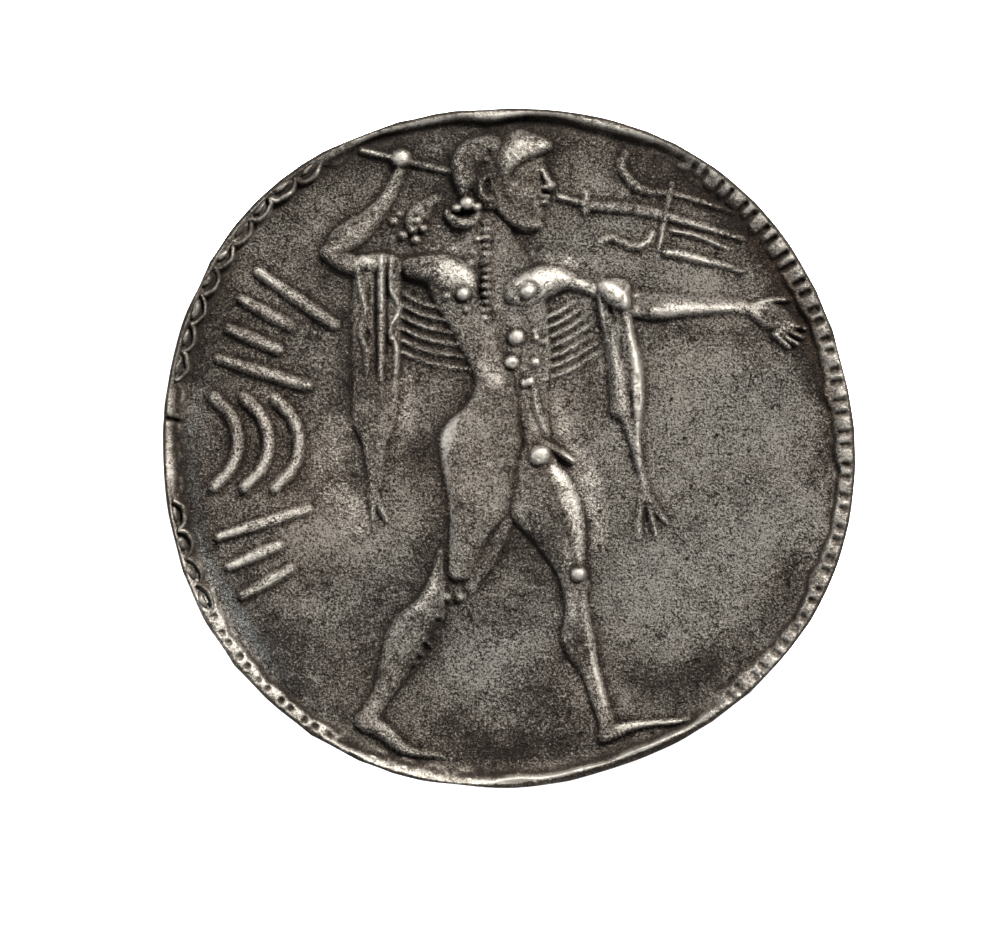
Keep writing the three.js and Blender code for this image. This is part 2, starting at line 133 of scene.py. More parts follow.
def cloud(width, seed):
    """Soft random blotches of about that width, with a mean of 0 and a spread of 1."""
    blotches = blur(np.random.default_rng(seed).standard_normal(sheet_x.shape), width)
    return (blotches - blotches.mean()) / blotches.std()


def sample(sheet, x, y):
    """The sheet's value at any points, between its own by straight lines."""
    column = np.clip((x + HALF_SHEET) / STEP, 0, sheet.shape[1] - 1.001)
    row = np.clip((y + HALF_SHEET) / STEP, 0, sheet.shape[0] - 1.001)
    i, j = row.astype(int), column.astype(int)
    v, u = row - i, column - j
    top = sheet[i, j] * (1 - u) + sheet[i, j + 1] * u
    bottom = sheet[i + 1, j] * (1 - u) + sheet[i + 1, j + 1] * u
    return top * (1 - v) + bottom * v


class Die:
    """A sheet of heights above the field, and the ways an engraver works on it."""

    def __init__(self):
        self.height = np.zeros_like(sheet_x)

    def window(self, path):
        ends = []
        for values in (path[:, 1], path[:, 0]):
            first = int((np.min(values - path[:, 2]) + HALF_SHEET) / STEP) - 1
            last = int((np.max(values + path[:, 2]) + HALF_SHEET) / STEP) + 2
            ends.append(slice(max(first, 0), last))
        return tuple(ends)

    def dabs(self, stations, power, taper):
        """The window of a round-ended form, and its shape there from 0 to 1."""
        path = smooth(stations)
        area = self.window(path)
        x, y = sheet_x[area], sheet_y[area]
        shape = np.zeros_like(x)
        widest = path[:, 2].max()
        for a, b in zip(path, path[1:]):
            run = b[:2] - a[:2]
            along = ((x - a[0]) * run[0] + (y - a[1]) * run[1]) / max(run @ run, 1e-9)
            along = np.clip(along, 0, 1)
            half = a[2] + (b[2] - a[2]) * along
            off = np.hypot(x - a[0] - run[0] * along, y - a[1] - run[1] * along) / half
            back = np.sqrt(np.clip(1 - off**power, 0, None)) * (half / widest) ** taper
            shape = np.maximum(shape, back)
        return area, shape

    def level(self, stations, power, taper, end=1):
        """The same for an upright form, whose sections all run across the sheet.

        The ends are quarter ellipses, as long as the end's half width times the end value.
        """
        path = smooth(stations)
        caps = np.radians([30, 55, 75, 90])
        for last, way in ((0, path[0] - path[1]), (-1, path[-1] - path[-2])):
            x, y, half = path[last]
            beyond = y + np.sign(way[1]) * half * end * np.sin(caps)
            turned = np.stack([np.full(4, x), beyond, half * np.cos(caps) + 1e-3], axis=1)
            path = np.vstack([turned[::-1], path] if last == 0 else [path, turned])
        path = path[np.argsort(path[:, 1])]
        area = self.window(path)
        x, y = sheet_x[area], sheet_y[area][:, 0]
        centre = np.interp(y, path[:, 1], path[:, 0])[:, None]
        half = np.interp(y, path[:, 1], path[:, 2], left=1e-3, right=1e-3)[:, None]
        off = np.abs(x - centre) / half
        return area, np.sqrt(np.clip(1 - off**power, 0, None)) * (half / path[:, 2].max()) ** taper

    def shape(self, stations, upright, power, taper, end):
        if upright:
            return self.level(stations, power, taper, end)
        return self.dabs(stations, power, taper)

    def stand(self, stations, relief, upright=False, power=3, taper=0.4, end=1, blend=0.06):
        """Raises a form to its own height above the field, and blends it with what it meets."""
        area, shape = self.shape(stations, upright, power, taper, end)
        new, old = shape * relief, self.height[area]
        lower = np.minimum(new, old)
        reach = np.clip(lower, 1e-4, blend)
        meet = np.clip(reach - np.abs(new - old), 0, None) ** 2 / (4 * reach)
        self.height[area] = np.maximum(new, old) + np.where(lower > 0, meet, 0)

    def add(self, stations, rise, upright=False, power=2, taper=0.5, end=1):
        """Raises a form on whatever is there, or cuts it in where the rise is below 0."""
        area, shape = self.shape(stations, upright, power, taper, end)
        self.height[area] += shape * rise


print(f"sheet: {len(axis)} by {len(axis)} heights")

# %% [markdown]
# ## Drawing the figure
# The figure is drawn in hundredths of its own height, from an upright axis and a ground line, so that its
# proportions can be read off any picture. Each station is a place and a half width there. Broad forms
# stand at a share of the full relief, and small ones are added on their backs or cut into them.

# %% The figure's own grid
FIELD_RADIUS = radius - 1.2
FIGURE_HEIGHT = 2 * (FIELD_RADIUS - 0.2)
FIGURE_SHIFT = (-0.4, 0.23)
PERCENT = FIGURE_HEIGHT / 100


def drawn(stations):
    return [
        (FIGURE_SHIFT[0] + x * PERCENT, FIGURE_SHIFT[1] + y * PERCENT - FIGURE_HEIGHT / 2, half * PERCENT)
        for x, y, half in stations]


obverse = Die()
polish_and_painted_highlight = Die()  # where handling has kept the metal bright, and where highlights are painted


def stand(share, stations, **ways):
    obverse.stand(drawn(stations), share * RELIEF, **ways)


def add(rise, stations, **ways):
    obverse.add(drawn(stations), rise, **ways)


def beads(share, places, ring=0.0, bright=0.6):
    """Round studs, each in a ring cut that deep round its foot."""
    for x, y, half in places:
        if ring:
            add(-ring, [(x - 0.1, y, 1.35 * half), (x + 0.1, y, 1.35 * half)], power=6)
        stand(share, [(x - 0.1, y, half), (x + 0.1, y, half)], power=4.5)
        if bright:
            polish_and_painted_highlight.stand(drawn([(x - 0.1, y, half), (x + 0.1, y, half)]), bright * min(half, 1), power=4)


print(f"figure: {FIGURE_HEIGHT:.2f} mm tall")

# %% [markdown]
# ### Cloth
# What lies furthest back is stamped first. A cloak hangs from both arms and falls to narrow tails with
# tassels, and between them and the trunk it shows as sloping pleats.

# %% Pleats and cloak
for i in range(6):
    stand(0.24, [(-15.4 - 0.16 * i, 73.9 - 1.85 * i, 0.45), (-12.8 + 0.4 * i, 72.4 - 1.95 * i, 0.42),
                 (-9.6 + 0.98 * i, 71.5 - 1.96 * i, 0.34)], power=2)
for i in range(7):
    stand(0.34, [(7.7 - 0.1 * i, 70 - 1.67 * i, 0.4), (9.8 + 0.3 * i, 71 - 1.55 * i, 0.42),
                 (12 + 0.66 * i, 72.5 - 1.35 * i, 0.36)], power=2)

REAR_FALL = [
    (-19.6, 79.2, 3.9), (-19.6, 76, 3.9), (-19.7, 64.5, 3.9), (-19.9, 56.8, 3.6), (-20.1, 52.9, 3.2),
    (-20, 49.6, 1.9), (-19.9, 45.5, 1.3), (-19.8, 42.7, 0.95)]
FORE_FALL = [
    (18.2, 75.2, 2.7), (18.4, 71.5, 2.7), (19, 67.1, 2.6), (20, 62.1, 2.9), (20.3, 57.1, 2.9),
    (20.3, 54.8, 2.7), (21, 53.6, 1.7), (21.4, 50.8, 1.1), (22.1, 47.5, 0.8), (22.5, 45.4, 0.55)]
stand(0.36, REAR_FALL, upright=True, power=5, taper=0.3, end=0.25)
stand(0.46, FORE_FALL, upright=True, power=5, taper=0.3, end=0.4)
FOLDS = [
    (0.17, [(-18.9, 79.6, 0.55), (-18.9, 70, 0.55), (-19, 60, 0.4)]),
    (0.17, [(-22.6, 77.5, 0.4), (-22.4, 74.9, 0.4), (-21.4, 71.2, 0.45), (-22.3, 67.8, 0.4),
            (-21.3, 64.7, 0.45), (-21.3, 61, 0.3)]),
    (0.2, [(-17.4, 77, 0.4), (-17.4, 74.5, 0.4), (-16.1, 72.1, 0.45), (-16.1, 70.7, 0.45),
           (-17.4, 68.5, 0.4), (-17.4, 67, 0.4), (-16.4, 65, 0.5), (-16.6, 61, 0.4)]),
    (0.16, [(-15.4, 78.9, 0.45), (-16.7, 76.4, 0.4)]),
    (0.16, [(-17.3, 79.4, 0.5), (-17.4, 76.5, 0.4)]),
    (0.14, [(-22, 79.2, 0.9), (-20.4, 78.2, 1)]),
    (-0.14, [(-19.9, 77, 0.3), (-19.9, 70, 0.35), (-19.8, 61, 0.25)]),
    (-0.12, [(-18, 77.4, 0.25), (-18, 71, 0.3), (-18, 64, 0.25)]),
    (-0.15, [(-21, 75.6, 0.3), (-20.9, 73.6, 0.55), (-21.1, 71.8, 0.3)]),
    (-0.15, [(-21, 68.2, 0.3), (-21.2, 66.7, 0.55), (-21, 65.4, 0.25)]),
    (0.34, [(16.4, 75.2, 1.2), (18.2, 73.7, 1.7), (19.7, 72.4, 1.4)]),
    (0.16, [(20.4, 74, 0.7), (20.3, 71, 0.8), (20.9, 67.4, 0.8), (21.8, 63, 1), (22.1, 58, 1.1),
            (22.1, 54.5, 0.9), (22, 50, 0.7), (22.4, 46, 0.4)]),
    (0.12, [(15.8, 73.5, 0.3), (16.4, 70, 0.3), (17.1, 66, 0.25)]),
    (0.08, [(18, 67.4, 0.45), (18.3, 64.6, 0.5), (18.9, 62, 0.8), (19.4, 58, 1), (19.8, 55, 0.8)]),
    (-0.14, [(17.6, 71.4, 0.5), (18.3, 69.4, 0.5)]),
    (-0.1, [(16.5, 69.5, 0.5), (17, 64, 0.6), (17.4, 58.5, 0.6), (17.8, 55.5, 0.5)]),
    (-0.08, [(22, 60.5, 0.3), (22.2, 56, 0.3)]),
    (-0.08, [(20.9, 58, 0.3), (21.3, 54, 0.3), (21.7, 50, 0.25)]),
    (-0.12, [(19.4, 66.9, 0.3), (19.4, 65.3, 0.45), (19.7, 63.6, 0.3)])]
for rise, fold in FOLDS:
    add(1.2 * rise, fold)
    if rise > 0:
        polish_and_painted_highlight.stand(drawn(fold), 0.3, power=2)
THREADS = [
    [(-20.4, 42.3, 0.55), (-20.3, 39.9, 0.5), (-20.2, 37.6, 0.3)],
    [(-19.9, 42.1, 0.5), (-19, 39.6, 0.6), (-17.9, 37.3, 0.35)],
    [(22.7, 44.9, 0.5), (23.2, 43, 0.6)],
    [(22.9, 42.9, 0.5), (24.3, 40.2, 0.75), (26.8, 37.2, 0.4)],
    [(22.8, 41.2, 0.4), (22.3, 38, 0.5), (22.1, 34.7, 0.35)],
    [(23.7, 40.2, 0.4), (24.3, 38, 0.5), (25, 35, 0.4)]]
for thread in THREADS:
    stand(0.28, thread, power=2)
print(f"cloth: {len(FOLDS)} folds and {len(THREADS)} threads")

# %% [markdown]
# ### Trunk, arms and legs
# The trunk is seen from the front and runs without a break into the thigh of the trailing leg, while the
# belly and the fore leg stand a little lower beside it. Each breast is drawn out to its own shoulder.

# %% Trunk
CHEST = [(-1.9, 82.5, 4.4), (-3.2, 79, 8.2), (-2, 75, 7.6), (-1, 71.5, 6.6), (-1, 69, 5.6)]
BELLY = [(4, 71.4, 3.7), (4.3, 66.3, 3.4), (4.5, 60.7, 3.1), (5.3, 55.2, 2.5), (6.2, 49.4, 1.9)]
TRUNK = [
    (-8, 75.4, 3.6), (-6.4, 72.5, 4.1), (-4.5, 69, 3.9), (-3.1, 65.2, 3.3), (-1.8, 62.5, 3.2),
    (-0.8, 60.3, 3.3), (-0.5, 58, 3.7), (-1.2, 55.5, 4.6), (-2.4, 53.4, 5.8), (-3.1, 50.8, 6.6), (-3.1, 47.5, 6.4),
    (-3, 43.5, 5.8), (-3.3, 39, 4.8), (-4.8, 35.3, 3.3), (-5.7, 31.6, 2.5), (-6.2, 29.2, 2)]
stand(0.28, CHEST, upright=True, power=2)
stand(0.32, BELLY, upright=True, power=5)
stand(0.7, TRUNK, upright=True, power=2.5, taper=0.4, end=0.6)
stand(0.26, [(1.4, 37.6, 0.7), (-0.6, 34, 1.3), (-2.8, 30, 1.3), (-4.6, 27, 0.9)], power=3)
add(0.09, [(-2.4, 58, 1.4), (-4.4, 52, 3.2), (-4.4, 46, 3.4), (-4.9, 38.5, 2.2), (-5.9, 31, 1)])
add(-0.1, [(-8.6, 30, 0.3), (-9, 38, 0.3), (-9.6, 46, 0.3)])
REAR_BREAST = [(-14, 77.9, 1.7), (-10.8, 77.7, 2.3), (-8.6, 77, 3.1), (-7, 76.1, 3.5), (-6.2, 75.1, 3)]
FORE_BREAST = [
    (2.8, 73.9, 2.3), (4.6, 74.5, 2.9), (6.6, 75.4, 2.8), (8.6, 76, 2.2), (10.8, 75.9, 1.5),
    (13.5, 75, 1.1), (16.5, 73.8, 1)]
stand(0.86, REAR_BREAST, power=2.4)
stand(0.82, FORE_BREAST, power=2.4, taper=0.8)
beads(0.97, [(-5.8, 73.7, 1.15)], ring=0.1)
beads(0.97, [(4.5, 74.1, 1.3)], ring=0.12, bright=0.4)
beads(0.82, [(-8.4, 73.4, 0.75), (-5.2, 71.3, 0.7)], ring=0.06, bright=0.3)
beads(0.56, [(2.7, 66.8, 1.3), (1.9, 62.8, 1.15), (4.1, 59.5, 0.8), (4.8, 59.7, 0.8)], ring=0.08)
beads(0.5, [(5.8, 67.7, 0.65), (5.8, 66.7, 0.65), (5.7, 62.8, 0.85),
    (7.2, 66.1, 0.6)], ring=0.05, bright=0.5)
stand(0.55, [(5.6, 58.4, 0.7), (6, 55.5, 0.9), (6.8, 53.6, 0.9), (7.5, 51.2, 0.6)])
stand(0.3, [(7.2, 69.8, 0.3), (7.8, 65, 0.35), (7.7, 60.7, 0.3)])
stand(0.5, [(6.3, 50.1, 0.5), (8.9, 48.9, 0.65), (11.8, 47, 0.45)])
beads(0.92, [(6.5, 47.9, 1.75)], ring=0.06)
for i in range(13):
    x, y = -2.05 - 0.025 * i + 0.12 * math.sin(2.3 * i), 85.2 - 1.28 * i
    half = 0.9 * (0.6 + 0.08 * math.sin(1.7 * i))
    stand(0.5 + 0.2 * min(i / 5, 1), [(x - 0.25, y, half), (x + 0.25, y, half)], power=4, blend=0.02)
for x, y in ((-3.5, 82.5), (-4.1, 80.3), (-4.6, 78.7)):
    beads(0.5, [(x, y, 0.55)], ring=0.05)
print(f"trunk: {obverse.height.max():.2f} mm high")

# %% Arms and hands
stand(0.5, [(-22.6, 78.1, 1.5), (-24.6, 78.9, 1.7), (-26.6, 80, 1.4), (-27.6, 80.4, 1.1)])
stand(0.6, [(-26.6, 80.7, 1.5), (-25.3, 82, 2.1), (-23.6, 83.3, 2.25), (-21.4, 84.9, 1.8),
            (-19.4, 87.1, 1.35), (-17.5, 89.8, 1.1), (-16, 93.2, 0.85)])
add(-0.07, [(-26.4, 80.4, 0.2), (-24.6, 80.4, 0.3), (-22.8, 80.2, 0.25)])
add(-0.06, [(-22.4, 82.9, 0.3), (-21, 83.4, 0.3), (-20.4, 84.8, 0.25)])
beads(0.58, [(-15.7, 95.4, 1.5)])
stand(0.3, [(20.4, 72.4, 1.6), (23.5, 72.2, 1.9), (27.2, 72.1, 1.7), (33.4, 71.9, 1.5),
    (39, 71.6, 1.1)], power=3)
stand(0.46, [(21.4, 71.1, 1.1), (25.4, 71, 1.4), (31, 71.3, 1.1), (37, 71.4, 0.7)], power=2.2)
stand(0.4, [(40, 71.4, 0.9), (43.2, 70.3, 2.1), (46.1, 68.8, 1.6)], power=3)
stand(0.36, [(41.3, 72.2, 0.5), (43.5, 72.7, 0.5), (46.4, 72.9, 0.4)])
FINGERS = [
    [(45.3, 69.2, 0.42), (48.9, 68.2, 0.35)], [(45, 68.2, 0.42), (48.6, 66.8, 0.35)],
    [(44.5, 67.7, 0.42), (47.5, 65.7, 0.35)], [(43.9, 67.3, 0.42), (46.2, 65.3, 0.35)]]
for finger in FINGERS:
    stand(0.38, finger)
    polish_and_painted_highlight.stand(drawn(finger), 0.5, power=2)
    add(-0.05, [(finger[0][0] - 1.5, finger[0][1] + 0.1, 0.15), (finger[1][0], finger[1][1] + 0.55, 0.15)])
print(f"hand: {len(FINGERS)} fingers and a thumb")

# %% Legs and feet
FORE_LEG = [
    (6, 46.6, 3.4), (6.6, 44, 4.9), (7.3, 40.1, 5.8), (7.9, 37.7, 5.7), (9.3, 35.1, 4.5),
    (10.2, 32.6, 3.5),
    (11.1, 30.2, 2.6), (11.9, 28, 2.4), (12.2, 25, 1.9), (12.4, 22.1, 2.1), (12.6, 18.4, 2.8),
    (13.4, 15.7, 2.3), (14.6, 13.2, 1.65), (15.8, 9.4, 1.45), (16.9, 5.9, 1.35), (17.3, 3.4, 1.2)]
REAR_LEG = [
    (-9.5, 32.6, 0.5), (-10, 28.9, 1.1), (-10.5, 26.2, 1.9), (-11.3, 24.3, 2.7), (-12.6, 22.3, 3.8),
    (-13.8, 19.9, 4.2), (-14.7, 17.3, 4), (-16.4, 14.2, 3), (-18, 11, 2), (-19.6, 8.4, 1.8),
    (-20.8, 6.5, 1.8), (-21, 5.2, 1.6)]
stand(0.62, FORE_LEG, upright=True, power=2.6, taper=0.4)
stand(0.6, REAR_LEG, upright=True, power=2.6, taper=0.45)
add(0.08, [(6.6, 43, 1.8), (7.6, 38, 2.6), (9.6, 33, 1.6), (11.2, 29.6, 1)], power=2)
beads(0.76, [(12.6, 29, 1.25)], ring=0.08, bright=0.7)
for i in range(9):
    x, y = -10 - 0.42 * i + 0.5 * math.sin(3 * i), 21.6 - 1.0 * i
    add(-0.28, [(x, y, 0.5 + 0.3 * math.sin(2.2 * i) ** 2), (x + 0.5, y - 0.4, 0.5)])
add(0.07, [(13.3, 25.2, 0.4), (13.5, 22, 0.6), (14.6, 16, 0.6), (16.6, 8.5, 0.45)])
beads(0.45, [(-8.6, 25.3, 0.75), (-6.2, 25.3, 0.75)], bright=0.2)
stand(0.42, [(16.9, 3.2, 1.1), (19.1, 4.1, 1.1), (21.6, 4.8, 0.75), (24.6, 5.2, 0.55),
    (28, 5.4, 0.5), (30.2, 5.9, 0.3)])
stand(0.42, [(-21.9, 5.6, 1.3), (-19.1, 4.3, 1.3), (-16.9, 2.5, 1.1), (-15.1, 1, 0.8),
    (-12.7, 0.4, 0.6), (-9.5, 0.1, 0.45)])
print(f"legs: {len(FORE_LEG) + len(REAR_LEG)} stations")

# %% [markdown]
# ### Head, hair and trident
# The head is in profile on frontal shoulders. Its face is a plain calm one, set out by the usual thirds:
# brow, base of the nose and chin are evenly spaced. The hair is combed into two rolls.

# %% Head and hair
stand(0.36, [(-1.4, 96, 3.2), (-1.8, 93, 3.8), (-1.4, 90, 2.9)], upright=True)
stand(0.5, [(3.5, 96.4, 3.6), (3, 94, 4.4), (2.9, 91.5, 4.3), (3.1, 89, 4), (3.8, 87, 3.2),
      (4.6, 85.6, 2)], upright=True, power=2.6)
stand(0.56, [(6.9, 93.4, 0.5), (7.5, 92.2, 0.6), (8.2, 91, 0.75)])
stand(0.5, [(7.2, 90.8, 0.5), (7.9, 90.6, 0.5)])
stand(0.56, [(6.1, 89.3, 0.3), (7.6, 89.25, 0.42)])
stand(0.55, [(6.1, 88.4, 0.3), (7.4, 88.4, 0.42)])
add(-0.08, [(5.7, 88.85, 0.2), (7.8, 88.85, 0.2)])
add(0.09, [(3.2, 93.5, 0.35), (5, 93.95, 0.5), (6.9, 93.5, 0.4)])
add(-0.12, [(3.7, 92.3, 0.55), (5, 92.4, 0.95), (6.5, 92.3, 0.55)])
add(0.16, [(4, 92.35, 0.3), (5, 92.4, 0.6), (6, 92.35, 0.3)])
add(0.1, [(3.5, 92.2, 0.22), (4.9, 93, 0.25), (6.4, 92.4, 0.22)])
add(0.07, [(1.8, 90.6, 1.2), (4, 90.3, 1.5)])
stand(0.6, [(-0.3, 90, 0.8), (0.8, 87.7, 1.3), (3, 85.9, 1.5), (4.9, 85, 1.2), (6.1, 84.7, 0.8)])
for i in range(7):
    add(-0.1, [(0.9 + 0.85 * i, 88 - 0.65 * i + 0.09 * i * i, 0.18),
        (0.6 + 0.9 * i, 85.9 - 0.5 * i + 0.075 * i * i, 0.18)])
stand(0.62, [(-1.7, 92.6, 0.4), (-2.8, 91.8, 0.5), (-3, 90.3, 0.5), (-2.1, 88.8, 0.45), (-1.2, 88.9, 0.4)])
add(-0.16, [(-1.9, 91.4, 0.6), (-1.8, 90.2, 0.6)])
stand(0.74, [(-5.5, 92, 1.8), (-5.6, 94.4, 2.3), (-4.2, 96.2, 2.4), (-2.2, 97.1, 1.9),
    (-0.9, 97.2, 1.1)], power=3)
stand(0.8, [(0.9, 93.1, 1.2), (1.4, 95, 2), (2.9, 96.4, 2.5), (5, 97.2, 2.2), (7.3, 97.4, 1.1)], power=3)
add(-0.12, [(2, 92.6, 0.3), (2.9, 94, 0.35), (4.6, 95.1, 0.35), (7, 95.9, 0.3)])
add(-0.2, [(-2, 95.4, 0.8), (-1.6, 96.3, 0.5)])
beads(0.62, [(-2.1, 95.3, 0.6)])
for turn_back in (0.2, 0.4, 0.6, 0.8):
    x = -6.6 + 4.4 * turn_back
    add(-0.05, [(x - 0.5, 94.6 + 3.4 * turn_back, 0.2), (x + 1.1, 93.4 + 2.4 * turn_back, 0.2)])
    x = 0.4 + 6 * turn_back
    add(-0.05, [(x - 0.7, 96.2 + 2.6 * turn_back, 0.2), (x + 0.9, 94.4 + 1.8 * turn_back, 0.2)])
stand(0.5, [(-6, 92.1, 0.9), (-5.7, 90.2, 0.9)])
stand(0.42, [(-8.3, 86.6, 0.7), (-6.8, 85.2, 0.85), (-4.8, 85.1, 0.85), (-3.5, 86.2, 0.75)])
beads(0.62, [(-5.2, 88.2, 1.1), (-3.6, 87.6, 0.7), (-6.9, 87.4, 0.7)], ring=0.06)
beads(0.55, [(-7.6, 85.9, 0.55), (-6.2, 85, 0.6), (-4.7, 84.9, 0.6)], bright=0.3)
stand(0.36, [(-10, 89.2, 0.6), (-12.1, 87.4, 1.3), (-13.7, 85.7, 1.4), (-14, 84.1, 0.9)])
beads(0.5, [(-11.3, 88, 0.7), (-12.8, 86.9, 0.75), (-13.1, 85.5, 0.7), (-14.3, 85.4, 0.6),
      (-13.9, 84, 0.6)], ring=0.04, bright=0.2)
beads(0.36, [(-16.9, 85.4, 0.65), (-15.4, 83.1, 0.7), (-13.4, 82.4, 0.7), (-16, 86.5, 0.5),
      (-12.2, 84.2, 0.6)], bright=0.2)
print(f"head: {obverse.height.max():.2f} mm at most")

# %% Trident
TRIDENT = [
    [(-22.1, 96.7, 0.35), (-8, 93.3, 0.35)],
    [(9.4, 89.3, 0.32), (13.8, 88.1, 0.35)],
    [(13.8, 89.8, 0.45), (13.7, 86.8, 0.45)],
    [(14.6, 87.8, 0.5), (20.4, 87.4, 0.65), (26.1, 86.3, 0.55), (32.6, 84.4, 0.4), (39, 82.5, 0.3)],
    [(20.2, 96.2, 0.4), (19.4, 94.3, 0.5), (20.4, 92.4, 0.5), (21.9, 90.9, 0.55), (24.2, 90, 0.45),
     (27.5, 89.8, 0.3), (33.5, 88.1, 0.35), (37.4, 86.7, 0.3)],
    [(15.5, 80.9, 0.35), (16.3, 82.1, 0.45), (17.9, 82.7, 0.45), (19.8, 81.9, 0.45), (21.9, 81.3, 0.5),
     (23.7, 82.1, 0.45), (24.4, 83.5, 0.4)],
    [(26.4, 80.4, 0.45), (29, 80, 0.55), (32.1, 79.2, 0.5), (35.6, 78.4, 0.4), (38.6, 77.3, 0.25)],
    [(27.4, 83.9, 0.25), (31.5, 83, 0.28), (36.5, 80.9, 0.2)],
    [(27.5, 91.4, 0.25), (25.4, 80.8, 0.25)]]
for stem in TRIDENT:
    stand(0.32, [(x, y, 1.45 * half) for x, y, half in stem], power=2)
    polish_and_painted_highlight.stand(drawn(stem), 0.15, power=2)
print(f"trident: {len(TRIDENT)} stems")

# %% [markdown]
# ### Where hands have polished it and dirt has stayed, with painted highlights and painted shade
# A worn coin is brightest on its most handled places, and dark where dirt has stayed. Both are drawn, each
# on a sheet of its own that the material reads. The same sheets also carry painted highlights on the sides
# that face the light, and painted shade in the lee of the forms, such as under the forearm.

# %% Polished places and stains, with painted highlights and painted shade
# polish and painted highlights: some places are the lit sides of forms, such as the right side of the fore leg
POLISH_AND_PAINTED_HIGHLIGHTS = [
    (0.6, [(-9.4, 78, 1.1), (-7.8, 77.2, 2), (-5.8, 76.2, 2.2)]),
    (0.7, [(3.6, 75.6, 1.2), (6, 76, 1.9), (8.6, 76.2, 1.6), (10.6, 76, 1)]),
    (0.4, [(10.6, 75.9, 1.2), (14, 75, 0.8)]),
    (0.65, [(13.5, 75.2, 0.9), (16.8, 74.9, 1.3), (19.6, 74, 1.6), (20.8, 71.8, 1)]),
    (0.65, [(21.4, 74, 0.9), (21.6, 68, 0.9), (22.2, 62, 1.2), (22.3, 56, 1.1), (22.4, 49, 0.5)]),
    (0.45, [(-23, 78.8, 0.9), (-18.4, 78.8, 1.2), (-17, 78.6, 1)]),
    (0.2, [(-3, 71, 1.4), (-1.2, 66, 1.8), (-0.4, 61, 1.8)]),
    (0.3, [(-0.4, 78, 1.2), (-0.6, 72, 1.4)]),
    (0.6, [(24.6, 71.2, 0.7), (27.4, 71.4, 1.4), (31, 71.7, 0.9)]),
    (0.4, [(30, 71.8, 1), (39, 71.7, 0.7), (41.5, 71, 1)]),
    (0.35, [(41, 70.4, 0.5), (43, 68.4, 0.5), (45.6, 66.4, 0.4)]),
    (0.5, [(41.3, 72.2, 0.5), (43.5, 72.7, 0.5), (46.4, 72.9, 0.4)]),
    (0.3, [(-26.8, 80.6, 0.8), (-24.5, 82.2, 1.1), (-21, 85, 0.9), (-19, 87.6, 0.6)]),
    (0.4, [(-19, 79, 1.6), (-18.9, 72, 0.5), (-19, 64, 0.4)]),
    (0.35, [(-16.9, 77, 0.4), (-16.4, 71.5, 0.5), (-16.6, 64, 0.4)]),
    (0.75, [(-6.8, 55, 0.6), (-8, 52, 1.1), (-8.6, 48.8, 1.1), (-8.4, 45, 0.6)]),
    (0.4, [(-8.1, 44, 0.5), (-7.6, 38, 0.5), (-7.6, 33, 0.5)]),
    (0.55, [(-2.8, 62.5, 1.2), (-0.9, 59.8, 1.6)]),
    (0.7, [(8.6, 46, 1), (10.4, 43, 1.7), (11.8, 39.5, 1.7), (12.5, 35.5, 1.2), (13, 31.5, 0.8)]),
    (0.45, [(11.6, 49.6, 1.8), (15, 42, 2.2), (15.6, 34, 1.8)]),
    (0.5, [(2.8, 37.6, 0.6), (5.8, 33, 0.8), (8.6, 28.8, 0.6)]),
    (0.3, [(13.4, 26.4, 0.6), (13.8, 23, 0.8), (14.6, 18, 0.8), (15.4, 13, 0.7), (17, 7, 0.6)]),
    (0.35, [(10.6, 34, 1), (11.6, 30, 0.8), (11.6, 26, 0.8), (11.6, 22, 0.8)]),
    (0.45, [(14.6, 18, 0.5), (15.2, 14, 0.5), (16.9, 7, 0.5)]),
    (0.4, [(19.1, 4.4, 0.6), (23, 5.2, 0.5), (28, 5.5, 0.4)]),
    (0.4, [(-10.1, 30, 0.5), (-10.9, 26, 0.6), (-13, 23.4, 0.5)]),
    (0.3, [(-19.8, 8.8, 0.6), (-21, 6.4, 0.8), (-18.4, 4.6, 0.5), (-15, 1.2, 0.4)]),
    (0.4, [(-25.6, 53, 2.8), (-27, 45, 3.4), (-23, 38, 3)]),
    (0.4, [(-16.4, 70, 1.2), (-15.4, 60, 2), (-15, 54, 2)]),
    (0.45, [(-16, 80.8, 1), (-8, 81.2, 1.5)]),
    (0.45, [(5.6, 79.4, 1.3), (11.5, 78.6, 1.6)]),
    (0.35, [(8.6, 57.4, 1.2), (10.4, 52, 1.8)]),
    (0.4, [(4.4, 58, 0.9), (6.4, 52, 1.1)]),
    (0.5, [(1.3, 94.4, 1.1), (2.6, 96.3, 1.7), (5, 97.3, 1.6), (7, 97.4, 0.9)]),
    (0.25, [(2.6, 90.6, 1.3), (4.6, 90, 1.2)]),
    (0.5, [(6.9, 93, 0.5), (7.7, 91.8, 0.6)])]
